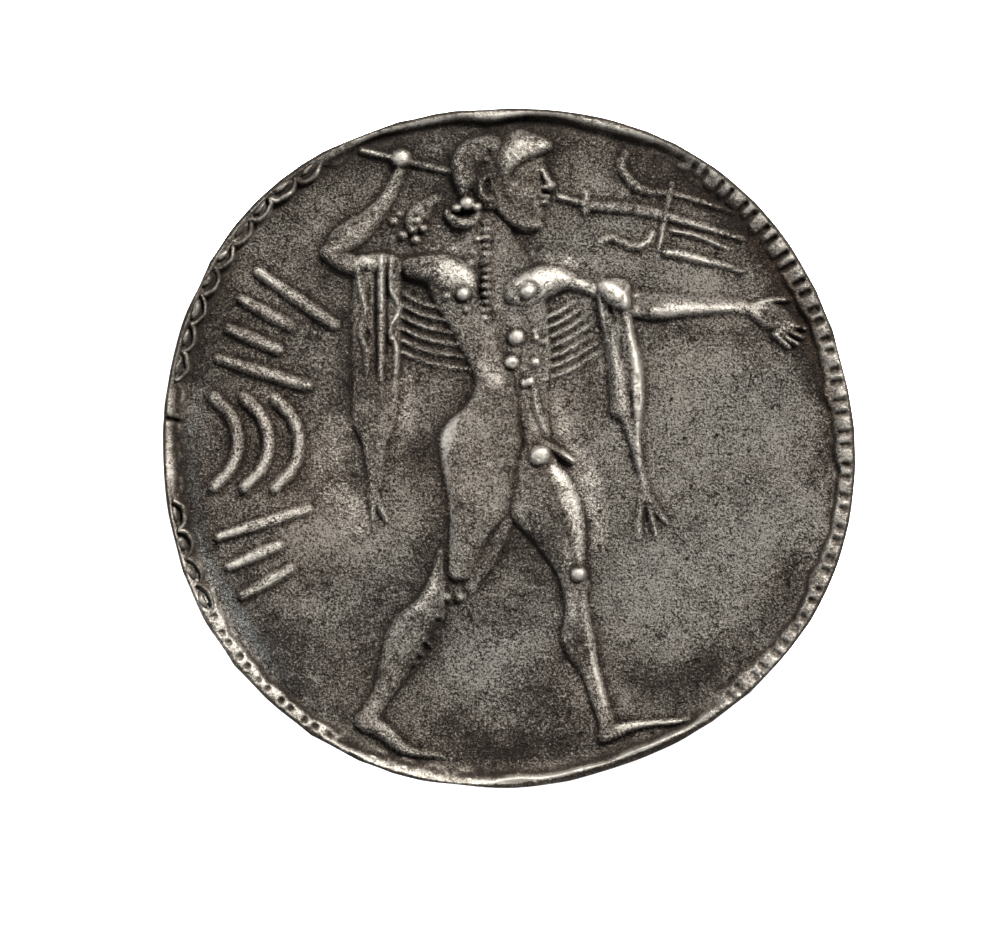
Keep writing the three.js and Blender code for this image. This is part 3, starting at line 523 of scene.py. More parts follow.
# Stains and painted shade, such as the shade under the forearm and beside the buttock. A share below 0 makes the
# place lighter.
STAINS_AND_PAINTED_SHADE = [
    (0.45, [(-12.8, 50, 1.6), (-12.4, 43, 2.2), (-11.4, 36, 2), (-10.8, 30, 1.4)]),
    (0.4, [(-17.5, 27, 2), (-20.5, 20, 3)]),
    (0.5, [(-30, 31, 4), (-30, 29, 4)]),
    (0.35, [(-39, 22, 4), (-33, 12, 4)]),
    (0.4, [(-23.6, 78, 1.2), (-23.8, 66, 1.4), (-24, 58, 1.2)]),
    (0.3, [(-7.4, 70, 1.2), (-5, 65.5, 1)]),
    (0.3, [(-28.5, 78, 2), (-28.5, 76, 2)]),
    (0.7, [(-8, 4.5, 3), (0, 1.5, 3.4), (9, 2, 3)]),
    (0.3, [(4, 9, 3), (8, 8, 3)]),
    (0.5, [(8.4, 16, 1.8), (10, 10, 2.4)]),
    (1, [(22, 14, 2.5), (26, 10.5, 3.6), (33, 14.5, 2.4)]),
    (0.5, [(12.6, 17, 1.6), (14.4, 12, 1.4)]),
    (0.4, [(-3, 21, 3), (4, 22, 3)]),
    (0.5, [(6, 12, 3), (11, 6, 3)]),
    (0.5, [(14, 69, 1.6), (15, 62, 2), (16, 54, 2)]),
    (0.7, [(24, 68.4, 1.2), (32, 68, 1.6), (40, 67, 1.4)]),
    (0.5, [(46, 40, 2), (45.5, 30, 2.4), (42, 22, 2.4), (34, 13, 3)]),
    (0.5, [(36, 88, 2), (41, 82, 2)]),
    (0.7, [(-3.6, 94, 2.6), (2.6, 90.6, 3.4)]),
    (0.5, [(-16, 92, 1.6), (-9, 90, 3)]),
    (0.3, [(-5.5, 46, 2.6), (-4.4, 40, 2.4)]),
    (0.6, [(-13.6, 21, 2), (-16.4, 14, 1.6)]),
    (1.4, [(-9.6, 21.6, 0.9), (-11.6, 17.6, 1.4), (-13.4, 13.6, 0.8)]),
    (1, [(1.4, 37.6, 0.7), (-0.6, 34, 1.2), (-4.6, 27, 1)]),
    (0.4, [(-14.6, 77, 1.4), (-12, 75, 1.6)]),
    (-0.35, [(0.3, 71, 1.2), (1, 64, 1.2), (2.2, 58, 1.2)]),
    (-0.3, [(-5, 13, 3), (-1, 12, 2.4)]),
    (-0.35, [(14, 91, 2.4), (20, 88, 2.4), (16, 79, 3)])]
stain_and_painted_shade = Die()
for share, place in STAINS_AND_PAINTED_SHADE:
    stain_and_painted_shade.add(drawn(place), share)
for share, place in POLISH_AND_PAINTED_HIGHLIGHTS:
    polish_and_painted_highlight.stand(drawn(place), share, power=2)
print(f"polished: {(polish_and_painted_highlight.height > 0.2).mean():.1%} of the sheet")

# %% [markdown]
# ### Shallow strokes beside the figure
# Rows of plain bars and arcs fill the field behind the figure. They point to the middle of the coin.

# %% Strokes
STROKE_RELIEF = 0.3
outer = FIELD_RADIUS - 0.7
for first, lengths in ((145, (3.9, 2.3, 2.3, 3.9)), (197, (3.9, 2.3, 2.3))):
    for i, length in enumerate(lengths):
        angle = math.radians(first + 6 * i)
        ends = [on_flan(outer, angle), on_flan(outer - length / 2, angle), on_flan(outer - length, angle)]
        bar = [(x, y, half) for (x, y), half in zip(ends, (0.2, 0.27, 0.25))]
        obverse.stand(bar, STROKE_RELIEF)
        polish_and_painted_highlight.stand([(x, y, 0.8 * half) for x, y, half in bar], 0.3, power=2)
ARC_RADIUS = 2.3
for i in range(3):
    arc_x, arc_y = on_flan(outer + ARC_RADIUS - 1.3 * (i + 1), math.radians(179))
    arc = [(arc_x + ARC_RADIUS * math.cos(a), arc_y + ARC_RADIUS * math.sin(a), 0.26)
           for a in np.radians([-56, -28, 0, 28, 56])]
    obverse.stand(arc, STROKE_RELIEF)
    polish_and_painted_highlight.stand([(x, y, 0.8 * half) for x, y, half in arc], 0.3, power=2)
print(f"highest relief {obverse.height.max():.2f} mm of {RELIEF:.2f}")

# %% [markdown]
# ## The rim and its scalloped step
# The cable border lies on a low step just inside the edge. Round each link the step bulges inwards. The
# border is worn in places, so each direction has its own sharpness: 1 is crisp and 0 is rubbed away.

# %% Border places and wear
LINKS = 69
WEAR = {-48: 0.8, 0: 1, 50: 1, 62: 0.3, 70: 0, 114: 0, 124: 0.7, 130: 1, 167: 1, 172: 0.4, 186: 0.4,
        190: 1, 212: 1, 236: 1, 241: 0, 243: 0, 247: 0.6, 262: 0.6, 267: 0, 306: 0, 312: 0.8}


def sharpness(angle):
    return np.interp(np.degrees(angle), list(WEAR), list(WEAR.values()), period=360)


even = 2 * np.pi * np.arange(LINKS) / LINKS
link_at = even + 0.045 * np.sin(even) - 0.022  # the pitch is a little wider on the right
sheet_angle = np.arctan2(sheet_y + middle[1], sheet_x + middle[0])
sheet_reach = np.hypot(sheet_x + middle[0], sheet_y + middle[1])
inset = radius * outline(sheet_angle) - sheet_reach  # distance in from the edge
wrapped = np.unwrap(np.concatenate([link_at, [link_at[0] + 2 * np.pi]]))
link_phase = np.interp(sheet_angle, wrapped, np.arange(LINKS + 1), period=2 * np.pi)
scallop = np.abs(np.cos(np.pi * link_phase))  # 1 at the middle of a link
crisp = sharpness(sheet_angle)


def step_down(value, start, width):
    """1 before the start, 0 after the start plus the width, smooth in between."""
    t = np.clip((value - start) / width, 0, 1)
    return 1 - t * t * (3 - 2 * t)


def bell(off, width):
    """1 where the offset is 0, and falling away smoothly on both sides."""
    return np.exp(-((off / width) ** 2))


# On the right and lower left the grooves are nearly full of metal, and only their ends stay open.
FILL = {0: 1, 40: 1, 58: 0.8, 64: 0, 205: 0, 208: 1, 242: 1, 245: 0, 292: 0, 300: 1, 360: 1}
HOLES_APART = 0.6  # the two ends of one groove, as a share of the pitch
LINK_ARC = 1.33  # the pitch along the rim


def filled(angle):
    return np.interp(np.degrees(angle) % 360, list(FILL), list(FILL.values()))


LIP = 0.46  # the plain crown along the edge
BAND = 0.24  # the step that the links lie on
wander = 0.05 * cloud(0.6, 3)
degrees = np.degrees(sheet_angle) % 360
at_bottom = bell(degrees - 288, 16)
plain_rim = (LIP + 0.025 * cloud(0.4, 4)) * step_down(inset, 0.3 + 0.12 * at_bottom + 1.4 * wander, 0.22)
plain_rim *= 1 - at_bottom * 0.35 * step_down(inset, 0.2, 0.2)
link_step = BAND * step_down(inset, 0.44 + 0.3 * scallop, 0.14)
linked_rim = np.maximum(LIP * step_down(inset, 0.17, 0.12), link_step)
full = filled(sheet_angle)
low_left = full * (sheet_x < 0)  # a narrower band with small holes
band_end = 0.72 + 0.1 * scallop + 1.6 * wander - 0.14 * bell(degrees - 320, 18)
band_end -= 0.1 * low_left
full_rim = (LIP - 0.02 - 0.4 * np.clip(inset - 0.4, 0, 0.5)) * step_down(inset, band_end, 0.14)
from_end = np.abs((link_phase + 0.5) % 1 - 0.5) - HOLES_APART / 2
opened = bell(degrees - 40, 16)  # here the ends run out to the field
hole_length = 0.23 + 0.2 * opened - 0.1 * low_left + 0.03 * cloud(0.4, 5)
hole_width = 0.15 - 0.02 * low_left + 0.02 * cloud(0.4, 6)
hole_start = 0.18 + 0.1 * low_left
across = from_end * LINK_ARC / hole_width
inwards = (inset - hole_start - hole_length) / hole_length
hole = (across**4 + inwards**4) ** 0.25  # below 1 inside a hole
full_rim -= (0.2 + 0.08 * opened) * step_down(hole, 0.75, 0.35)
full_rim = np.maximum(full_rim, 0)
linked_rim += (full_rim - linked_rim) * full
rim = plain_rim + (linked_rim - plain_rim) * crisp
obverse.height = np.maximum(obverse.height, rim)
obverse.add([(-14.7, 1.35, 0.12), (-14.3, 1.2, 0.1), (-13.9, 1.1, 0.04)], -0.35)
print(f"rim {rim.max():.2f} mm above the field")

# %% [markdown]
# ## Age on the surface
# Striking and two and a half thousand years leave no flat field. Slow swells come first, then the fine
# pitting of old silver, and last a soft blur, because metal never fills a die's corners fully.

# %% Swell, wear and pits
swell = 0.012 * cloud(1.6, 11) + 0.01 * cloud(0.6, 12)
sandy = 0.005 * cloud(0.1, 13) + 0.005 * cloud(0.2, 14)
pitted = 0.6 + 0.5 * np.clip(sheet_x / 8, 0, 1) * np.clip(1 - sheet_y / 6, 0, 1.5)
pits = 0.07 * pitted * np.clip(cloud(0.09, 15) - 1.9, 0, 1.2)
struck = blur(obverse.height, 0.045)
ragged = 0.6 * cloud(0.08, 71) + 0.6 * cloud(0.2, 72)
crust = 0.02 * np.clip(-ragged - 0.5, 0, 1.5) * np.clip(struck / 0.12, 0, 1)
crust += 0.006 * np.clip(ragged, -1, 1)
obverse_z = struck + swell * (0.4 + 0.6 * (struck < 0.1)) + sandy - pits - crust
obverse_z = np.minimum(obverse_z, RELIEF - SLACK)
print(f"field rough by {obverse_z[struck < 0.02].std() * 1000:.0f} micrometres")

# %% [markdown]
# ## The back
# The back carries the same figure sunk in, a little softer and without small detail. A border of
# short radial cuts goes round it.

# %% The reverse die
reverse = Die()
for stations, share, upright in (
        (TRUNK, 0.85, True), (BELLY, 0.4, True), (FORE_LEG, 0.75, True), (REAR_LEG, 0.6, True),
        (REAR_FALL, 0.45, True), (FORE_FALL, 0.55, True),
        (REAR_BREAST, 0.9, False), (FORE_BREAST, 0.85, False)):
    reverse.stand(drawn(stations), share * INCUSE, upright=upright)
CUTS = 96
cut_band = step_down(np.abs(inset - 1.25), 0.4, 0.2)
cut_shape = np.clip(np.cos(CUTS * sheet_angle), 0, 1) ** 0.5
reverse_z = blur(np.maximum(reverse.height, 0.12 * cut_band * cut_shape), 0.06)
reverse_z = np.clip(reverse_z + 0.003 * cloud(0.1, 21) + 0.01 * np.abs(cloud(1.2, 22)) - 0.004, 0, None)
print(f"deepest incuse {reverse_z.max():.2f} mm")

# %% [markdown]
# ## Striking the blank
# The blank has to be one closed skin. A square grid bent onto a disc keeps its cells even from the middle
# to the edge, where rings of a polar grid would crowd at the centre. Both faces are such grids, and a wall
# of rings joins them round the edge. Where the surface is flat, most of those cells aren't needed, so a
# decimation then spends the triangles on the relief.

# %% Build the skin
FRONT_CELLS = 480
BACK_CELLS = 240


def square_on_disc(cells):
    """Grid points of a square laid on a disc of radius 1, ring after ring."""
    steps = np.linspace(-1, 1, cells + 1)
    u, v = np.meshgrid(steps, steps)
    flat = np.abs(u) > np.abs(v)
    size = np.where(flat, u, v)
    with np.errstate(divide="ignore", invalid="ignore"):
        angle = np.where(flat, np.pi / 4 * v / u, np.pi / 2 - np.pi / 4 * u / v)
    angle = np.nan_to_num(angle)
    return size * np.cos(angle), size * np.sin(angle)


def loop_round(cells):
    """The indices of the grid's outer points, anticlockwise from one corner."""
    side = np.arange(cells)
    wide = cells + 1
    return np.concatenate([
        side, side * wide + cells, cells * wide + cells - side, (cells - side) * wide])


def face_grid(cells, reach, start, upside_down):
    """Points and quads of one face of the coin."""
    x, y = square_on_disc(cells)
    angle = np.arctan2(y, x)
    x, y = on_flan(np.hypot(x, y) * reach, angle)
    index = np.arange((cells + 1) ** 2).reshape(cells + 1, cells + 1) + start
    corners = [index[:-1, :-1], index[:-1, 1:], index[1:, 1:], index[1:, :-1]]
    quads = np.stack([corner.ravel() for corner in (corners[::-1] if upside_down else corners)], axis=1)
    return x.ravel(), y.ravel(), quads


top_reach = radius - EDGE_ROUNDING
foot_reach = radius - 0.15
x, y, front_quads = face_grid(FRONT_CELLS, top_reach, 0, False)
z = FIELD + sample(obverse_z, x, y)
front_loop = loop_round(FRONT_CELLS)
loop_angle = np.arctan2(y[front_loop] + middle[1], x[front_loop] + middle[0])
rough_edge = -0.035 * np.abs(sample(cloud(0.7, 31), x[front_loop], y[front_loop]))

points = [np.stack([x, y, z], axis=1)]
rings = [front_loop]
count = len(x)
crown_z = z[front_loop]
belt = crown_z - EDGE_ROUNDING
wall = [
    (radius - EDGE_ROUNDING * (1 - math.sin(a)), EDGE_ROUNDING * math.cos(a), 1)
    for a in np.radians([25, 50, 72, 90])]
wall += [(radius, -0.1, 1), (radius - 0.01, 0, 0.6), (radius - 0.01, 0, 0.4), (radius - 0.04, 0, 0.2)]
for reach, above, share in wall:
    roughness = rough_edge * min(1, 1.6 * (reach - top_reach) / EDGE_ROUNDING)
    ring_x, ring_y = on_flan(reach + roughness, loop_angle)
    points.append(np.stack([ring_x, ring_y, belt * share + above], axis=1))
    rings.append(np.arange(len(front_loop)) + count)
    count += len(front_loop)

back_x, back_y, back_quads = face_grid(BACK_CELLS, foot_reach, count, True)
back_z = sample(reverse_z, back_x, back_y)
back_loop = loop_round(BACK_CELLS)
back_z[back_loop] = 0
points.append(np.stack([back_x, back_y, back_z], axis=1))
back_loop = back_loop + count

wall_quads = []
for upper, lower in zip(rings, rings[1:]):
    wall_quads.append(np.stack([upper, lower, np.roll(lower, -1), np.roll(upper, -1)], axis=1))
last = rings[-1].reshape(-1, 2)
following = np.roll(rings[-1], -2).reshape(-1, 2)[:, 0]
next_back = np.roll(back_loop, -1)
foot_tris = np.concatenate([
    np.stack([last[:, 0], back_loop, last[:, 1]], axis=1),
    np.stack([last[:, 1], back_loop, next_back], axis=1),
    np.stack([last[:, 1], next_back, following], axis=1)])


def skin(name, points, quads, tris):
    """A mesh from arrays of corner indices."""
    mesh = bpy.data.meshes.new(name)
    mesh.vertices.add(len(points))
    mesh.vertices.foreach_set("co", (points * MM).astype(np.float32).ravel())
    corners = np.concatenate([quads.ravel(), tris.ravel()]).astype(np.int32)
    sizes = np.concatenate([np.full(len(quads), 4), np.full(len(tris), 3)])
    mesh.loops.add(len(corners))
    mesh.loops.foreach_set("vertex_index", corners)
    mesh.polygons.add(len(sizes))
    mesh.polygons.foreach_set("loop_start", (np.cumsum(sizes) - sizes).astype(np.int32))
    mesh.update(calc_edges=True)
    mesh.validate()
    return mesh


quads = np.vstack([front_quads, *wall_quads, back_quads])
blank_mesh = skin("struck_coin", np.vstack(points), quads, foot_tris)
coin = bpy.data.objects.new("struck_coin", blank_mesh)
bpy.context.scene.collection.objects.link(coin)
print(f"skin: {len(quads) * 2 + len(foot_tris)} triangles")

# %% Spend the triangles where the relief is
TRIANGLE_BUDGET = 190000


def plain_mesh(piece, name):
    """The piece's mesh with its modifiers done, and the modifiers gone."""
    shown = piece.evaluated_get(bpy.context.evaluated_depsgraph_get())
    made = bpy.data.meshes.new_from_object(shown)
    made.name = name
    piece.modifiers.clear()
    piece.data = made
    return made


thin = coin.modifiers.new("thin", "DECIMATE")
thin.ratio = TRIANGLE_BUDGET / (len(quads) * 2 + len(foot_tris))
thin.use_collapse_triangulate = True
coin_mesh = plain_mesh(coin, "struck_coin")
coin_mesh.shade_smooth()
for vertex in coin_mesh.vertices:
    vertex.co.z = max(vertex.co.z, 0)
print(f"kept {len(coin_mesh.polygons)} triangles")

# %% [markdown]
# ## Where metal darkens, with painted shade and painted highlights
# Handling polishes what stands proud and dirt stays in what lies deep, so old silver reads as light ridges
# in dark hollows. Shade is also painted over that dirt: in the hollows, round the foot of every form, in a
# broad halo round the figure, inside the rim and on its rolled edge. Highlights are painted on crests and on
# the rim's crown. The die already knows both: a place lower than its blurred surroundings is a hollow. The
# values are stored on the points, which lets the material follow the relief from any side.

# %% Store hollows and ridges on the points
# painted shade: hollows, the feet of forms and a broad halo round the figure are darkened along with their dirt
hollow = np.clip(blur(obverse_z, 0.1) - obverse_z, 0, None)
hollow_wide = np.clip(blur(obverse_z, 0.28) - obverse_z, 0, None)
hollow_broad = np.clip(blur(obverse_z, 1.1) - obverse_z, 0, None) * (1 - 0.6 * full * (sheet_x > 0))
ridge = np.clip(obverse_z - blur(obverse_z, 0.18), 0, None)
ridge_wide = np.clip(obverse_z - blur(obverse_z, 0.6), 0, None)
upper_right = bell(sheet_angle - 0.56, 0.38)
# painted shade inside the rim, deepest at the upper right
rim_foot_painted_shade = bell(inset - 1.2, 0.7) + 0.3 * bell(inset - 2.3, 1)
rim_foot_painted_shade *= 0.12 + 0.7 * upper_right
rim_foot_painted_shade *= np.where(struck > 0.08, 0.5, 1)
rim_foot_painted_shade += 0.5 * upper_right * full * step_down(np.abs(inset - 1.05), 0.2, 0.15)
# dirt and painted shade in the border's grooves and slots
in_arch = np.clip((scallop - 0.4) / 0.2, 0, 1)
open_groove = (1 - full) * step_down(np.abs(inset - 0.54), 0.1, 0.06) * in_arch
slots = (0.25 + 0.4 * opened + 0.3 * low_left) * full * step_down(hole, 0.75, 0.35)
grooves = crisp * (0.8 * open_groove + slots)
on_left = 0.13 * np.clip((3 - sheet_x) / 5, 0, 1) * np.clip((9 - sheet_y) / 6, 0, 1) * (struck < 0.3)
on_figure = 0.2 * np.clip((struck - 0.15) / 0.2, 0, 1) * step_down(-inset, -1.2, 0.2)
on_band = full * crisp * step_down(inset, 0.9, 0.1)
# a dark line at the foot of the band's step
band_foot_dark_line = full * crisp * bell(inset - band_end - 0.14, 0.07)
grime_and_painted_shade = (8 - 5.5 * on_band) * hollow + 2 * hollow_wide * (1 - on_band)
grime_and_painted_shade += 1.8 * hollow_broad * (1 - 0.7 * on_band)
grime_and_painted_shade += rim_foot_painted_shade * (1 - on_band) + grooves + on_left + on_figure + 0.5 * band_foot_dark_line
grime_and_painted_shade += 0.9 * blur(stain_and_painted_shade.height, 0.4)
grime_and_painted_shade = grime_and_painted_shade + 0.13 * cloud(0.9, 41) * (0.5 + grime_and_painted_shade)
rim_light = 0.7 * bell(degrees - 234, 16) + 0.7 * bell(degrees - 272, 12)
rim_light += 0.9 * bell(degrees - 209, 12)
rim_light *= step_down(inset, 0.9, 0.5)
grime_and_painted_shade += 0.3 * on_band * step_down(-inset, -0.75, 0.2)
grime_and_painted_shade -= 0.4 * rim_light + 0.5 * blur(polish_and_painted_highlight.height, 0.08)
# painted shade on the rolled outer edge
grime_and_painted_shade = np.clip(grime_and_painted_shade + 0.9 * step_down(inset, 0.12 + 0.18 * at_bottom + 0.08 * low_left, 0.05), 0, 1)
# painted highlight: a bright line along the rim's crown
crown_width = 0.12 - 0.02 * crisp - 0.04 * full * crisp
crown_painted_highlight = bell(inset - 0.27 + 0.06 * crisp - 0.15 * at_bottom, crown_width)
crown_painted_highlight *= 1 - 0.55 * crisp * (1 - full) + 0.12 * cloud(0.5, 43)
# wear and painted highlight: crests, the highest relief, polished places and the lower left rim are lightened
high = np.clip((struck / RELIEF - 0.75) / 0.2, 0, 1)
wear_and_painted_highlight = np.clip((5 * ridge + 0.5 * ridge_wide) * np.clip(struck / 0.15, 0, 1), 0, 0.55) + 0.15 * high
wear_and_painted_highlight += 0.1 * on_band * step_down(-hole, -1.1, 0.2)
gleam = blur(polish_and_painted_highlight.height, 0.06)
gleam *= np.clip(1 + 0.5 * (ragged + 0.3), 0.2, 1)  # its borders are ragged
wear_and_painted_highlight = wear_and_painted_highlight * (0.8 + 0.2 * cloud(0.7, 44)) + 0.8 * gleam + 0.38 * rim_light * (1 - 0.4 * low_left)
at_top = bell(degrees - 95, 20)
wear_and_painted_highlight += (0.7 - 0.4 * full - 0.25 * at_top) * crown_painted_highlight * np.clip(0.85 + 0.3 * ragged, 0.1, 1.2)
wear_and_painted_highlight = np.clip(wear_and_painted_highlight, 0, 0.95)
lower_left = np.clip(1.8 - np.abs(degrees - 203) / 22, 0, 1)
cool_band = 0.7 * bell(inset - 1.25 - 0.08 * cloud(0.8, 45), 0.28) * lower_left
grime_and_painted_shade = np.clip(grime_and_painted_shade - 0.2 * cool_band, 0, 1)
warm_band = bell(inset - 1.1, 0.3) * upper_right
tone = np.clip(0.07 * cloud(1.3, 61) + cool_band - 0.9 * warm_band - 4 * hollow, -1, 1)
grain_share = 1 - np.clip(0.45 * step_down(inset, 0.85, 0.2) + 0.4 * cool_band, 0, 0.5)
grain_share *= (1 - 0.1 * np.clip((struck - 0.12) / 0.1, 0, 1)) * (1 - 0.5 * np.clip(1.5 * gleam, 0, 1))
back_hollow = np.clip(3 * reverse_z + 0.1 * cloud(0.9, 42), 0, 1)

where = np.empty(len(coin_mesh.vertices) * 3, np.float32)
coin_mesh.vertices.foreach_get("co", where)
where = where.reshape(-1, 3) / MM
from_top = np.interp(where[:, 2], [0.6, FIELD - 0.1], [0, 1])
on_wall = sample(inset, where[:, 0], where[:, 1]) < 0.12
from_top = np.where(on_wall, np.interp(where[:, 2], [0.5, FIELD + 0.45], [0, 1]), from_top)
layers = {}
plain = np.zeros_like(sheet_x)
faces = {
    "grime_and_painted_shade": (grime_and_painted_shade, back_hollow + 0.25), "wear_and_painted_highlight": (wear_and_painted_highlight, 0.3 - back_hollow),
    "tone": (tone, plain), "grain": (grain_share, plain + 0.6)}
for name, sheets in faces.items():
    front, back = (sample(sheet, where[:, 0], where[:, 1]) for sheet in sheets)
    layers[name] = np.clip(back + (front - back) * from_top, -1, 1)
for name, values in layers.items():
    layer = coin_mesh.attributes.new(name, "FLOAT", "POINT")
    layer.data.foreach_set("value", values.astype(np.float32))
print("grime covers", f"{(layers['grime_and_painted_shade'] > 0.5).mean():.0%} of the points")

# %% [markdown]
# ## Old silver
# The metal is one shader with three looks in it: bare pale silver on the ridges, which also carries painted
# highlights, a warm grey skin on the field, and a brown-black crust in the hollows, which also carries
# painted shade. Noise at several sizes breaks up every border between them, and a fine bump gives the sandy
# sparkle of silver that has lain in the ground.

# %% The silver material
def add_node(tree, kind, **settings):
    node = tree.nodes.new(kind)
    for key, value in settings.items():
        setattr(node, key, value)
    return node


def noise(tree, place_from, scale, detail=4, roughness=0.6):
    node = add_node(tree, "ShaderNodeTexNoise")
    node.inputs["Scale"].default_value = scale
    node.inputs["Detail"].default_value = detail
    node.inputs["Roughness"].default_value = roughness
    tree.links.new(place_from, node.inputs["Vector"])
    return node.outputs["Fac"]


def math_node(tree, how, a, b=0.0, c=0.0, clamp=False):
    node = add_node(tree, "ShaderNodeMath", operation=how, use_clamp=clamp)
    for socket, value in zip(node.inputs, (a, b, c)):
        if isinstance(value, (int, float)):
            socket.default_value = value
        else:
            tree.links.new(value, socket)
    return node.outputs[0]


def ramp(tree, factor, stops):
    node = add_node(tree, "ShaderNodeValToRGB")
    while len(node.color_ramp.elements) < len(stops):
        node.color_ramp.elements.new(0.5)
    for element, (position, colour) in zip(node.color_ramp.elements, stops):
        element.position = position
        element.color = (*colour, 1)
    tree.links.new(factor, node.inputs["Fac"])
    return node.outputs["Color"]


def mix(tree, factor, a, b):
    node = add_node(tree, "ShaderNodeMix", data_type="RGBA")
    for socket, value in ((node.inputs[0], factor), (node.inputs[6], a), (node.inputs[7], b)):
        if isinstance(value, (int, float)):
            socket.default_value = value
        elif isinstance(value, tuple):
            socket.default_value = (*value, 1)
        else:
            tree.links.new(value, socket)
    return node.outputs[2]


def attribute(tree, name):
    node = add_node(tree, "ShaderNodeAttribute", attribute_name=name)
    return node.outputs["Fac"]


def old_silver():
    material = bpy.data.materials.new("old_silver")
    material.use_nodes = True
    tree = material.node_tree
    shader = tree.nodes["Principled BSDF"]
    shader.inputs["Specular IOR Level"].default_value = 0.05
    place = add_node(tree, "ShaderNodeTexCoord").outputs["Object"]
    broad = noise(tree, place, 320)
    medium = noise(tree, place, 1500, 4)
    fine = noise(tree, place, 9500, 2, 0.9)
    flakes = noise(tree, place, 3600, 3, 0.7)
    worm = noise(tree, place, 2300, 1.5, 0.5)
    grime_and_painted_shade = attribute(tree, "grime_and_painted_shade")
    wear_and_painted_highlight = attribute(tree, "wear_and_painted_highlight")
    grain = attribute(tree, "grain")
    tone = math_node(tree, "MULTIPLY_ADD", attribute(tree, "tone"), 0.5, 0.5, clamp=True)

    def spread(value, amount):
        return math_node(tree, "MULTIPLY_ADD", value, amount, -amount / 2)

    off_middle = math_node(tree, "ABSOLUTE", math_node(tree, "SUBTRACT", worm, 0.5))
    channel = math_node(tree, "MULTIPLY_ADD", off_middle, -24.0, 1.0, clamp=True)
    here = math_node(tree, "MULTIPLY_ADD", medium, 7.0, -3.2, clamp=True)
    worming = math_node(tree, "MULTIPLY", math_node(tree, "MULTIPLY", channel, here), grain)
    speck = math_node(tree, "MULTIPLY", spread(fine, 1.35), grain)
    dark = math_node(tree, "ADD", grime_and_painted_shade, spread(medium, 0.6))
    dark = math_node(tree, "MULTIPLY_ADD", worming, 0.4, dark)
    dark = math_node(tree, "ADD", dark, spread(broad, 0.9))
    dark = math_node(tree, "ADD", dark, spread(flakes, -0.6))
    dark = math_node(tree, "MULTIPLY_ADD", speck, -2.6, dark)
    pores = math_node(tree, "MULTIPLY", math_node(tree, "SUBTRACT", -0.08, speck), 3.0, clamp=True)
    dark = math_node(tree, "ADD", math_node(tree, "ADD", dark, 0.08), pores, clamp=True)
    skin_colour = ramp(tree, dark, [
        (0.0, (0.098, 0.09, 0.08)), (0.25, (0.05, 0.0445, 0.0385)), (0.6, (0.017, 0.014, 0.0113)),
        (1.0, (0.004, 0.003, 0.0023))])
    tint = ramp(tree, tone, [(0.1, (1.16, 0.97, 0.86)), (0.5, (1, 1, 1)), (0.9, (0.9, 1.02, 1.16))])
    tinted = add_node(tree, "ShaderNodeMix", data_type="RGBA", blend_type="MULTIPLY")
    tinted.inputs[0].default_value = 1
    tree.links.new(skin_colour, tinted.inputs[6])
    tree.links.new(tint, tinted.inputs[7])
    speckle = math_node(tree, "MULTIPLY", math_node(tree, "MULTIPLY_ADD", wear_and_painted_highlight, -1.7, 3.6), speck)
    speckle = math_node(tree, "MULTIPLY_ADD", worming, -0.7, speckle)
    bright = math_node(tree, "MULTIPLY_ADD", wear_and_painted_highlight, 1.35, speckle)
    bright = math_node(tree, "ADD", bright, spread(flakes, 1.5))
    bright = math_node(tree, "SUBTRACT", bright, math_node(tree, "MULTIPLY_ADD", grime_and_painted_shade, 0.8, 0.3),
        clamp=True)
    colour = mix(tree, bright, tinted.outputs[2], (0.18, 0.169, 0.152))
    tree.links.new(colour, shader.inputs["Base Color"])
    metal = math_node(tree, "SUBTRACT", 1.0, math_node(tree, "MULTIPLY", dark, 0.95), clamp=True)
    tree.links.new(metal, shader.inputs["Metallic"])
    rough = math_node(tree, "MULTIPLY_ADD", dark, 0.16, 0.54)
    tree.links.new(rough, shader.inputs["Roughness"])
    bump = add_node(tree, "ShaderNodeBump")
    strength = math_node(tree, "MULTIPLY", math_node(tree, "MULTIPLY_ADD", wear_and_painted_highlight, -0.6, 0.95), grain)
    tree.links.new(strength, bump.inputs["Strength"])
    bump.inputs["Distance"].default_value = 0.00024
    height = math_node(tree, "MULTIPLY_ADD", medium, 0.8, fine)
    height = math_node(tree, "MULTIPLY_ADD", worming, -0.5, height)
    tree.links.new(height, bump.inputs["Height"])
    tree.links.new(bump.outputs["Normal"], shader.inputs["Normal"])
    return material


silver = old_silver()
coin_mesh.materials.clear()
coin_mesh.materials.append(silver)
print("material nodes:", len(silver.node_tree.nodes))

# %% [markdown]
# ## The cable border
# The cable is one link over and over: a strand that arches inwards and a lens-shaped bead that it goes
# round. One link could be copied sixty-nine times by a loop, but instances on points keep it one shape
# with its sizes as inputs. The points carry each link's direction, pitch and wear. Links are set only where
# the cable is crisp: elsewhere the die has pressed what is left of it.

# %% Points for the links
LEAST_CRISP = 0.45  # links more worn than this have gone
DRAWN_PITCH = 1.32  # the pitch that the link is drawn for


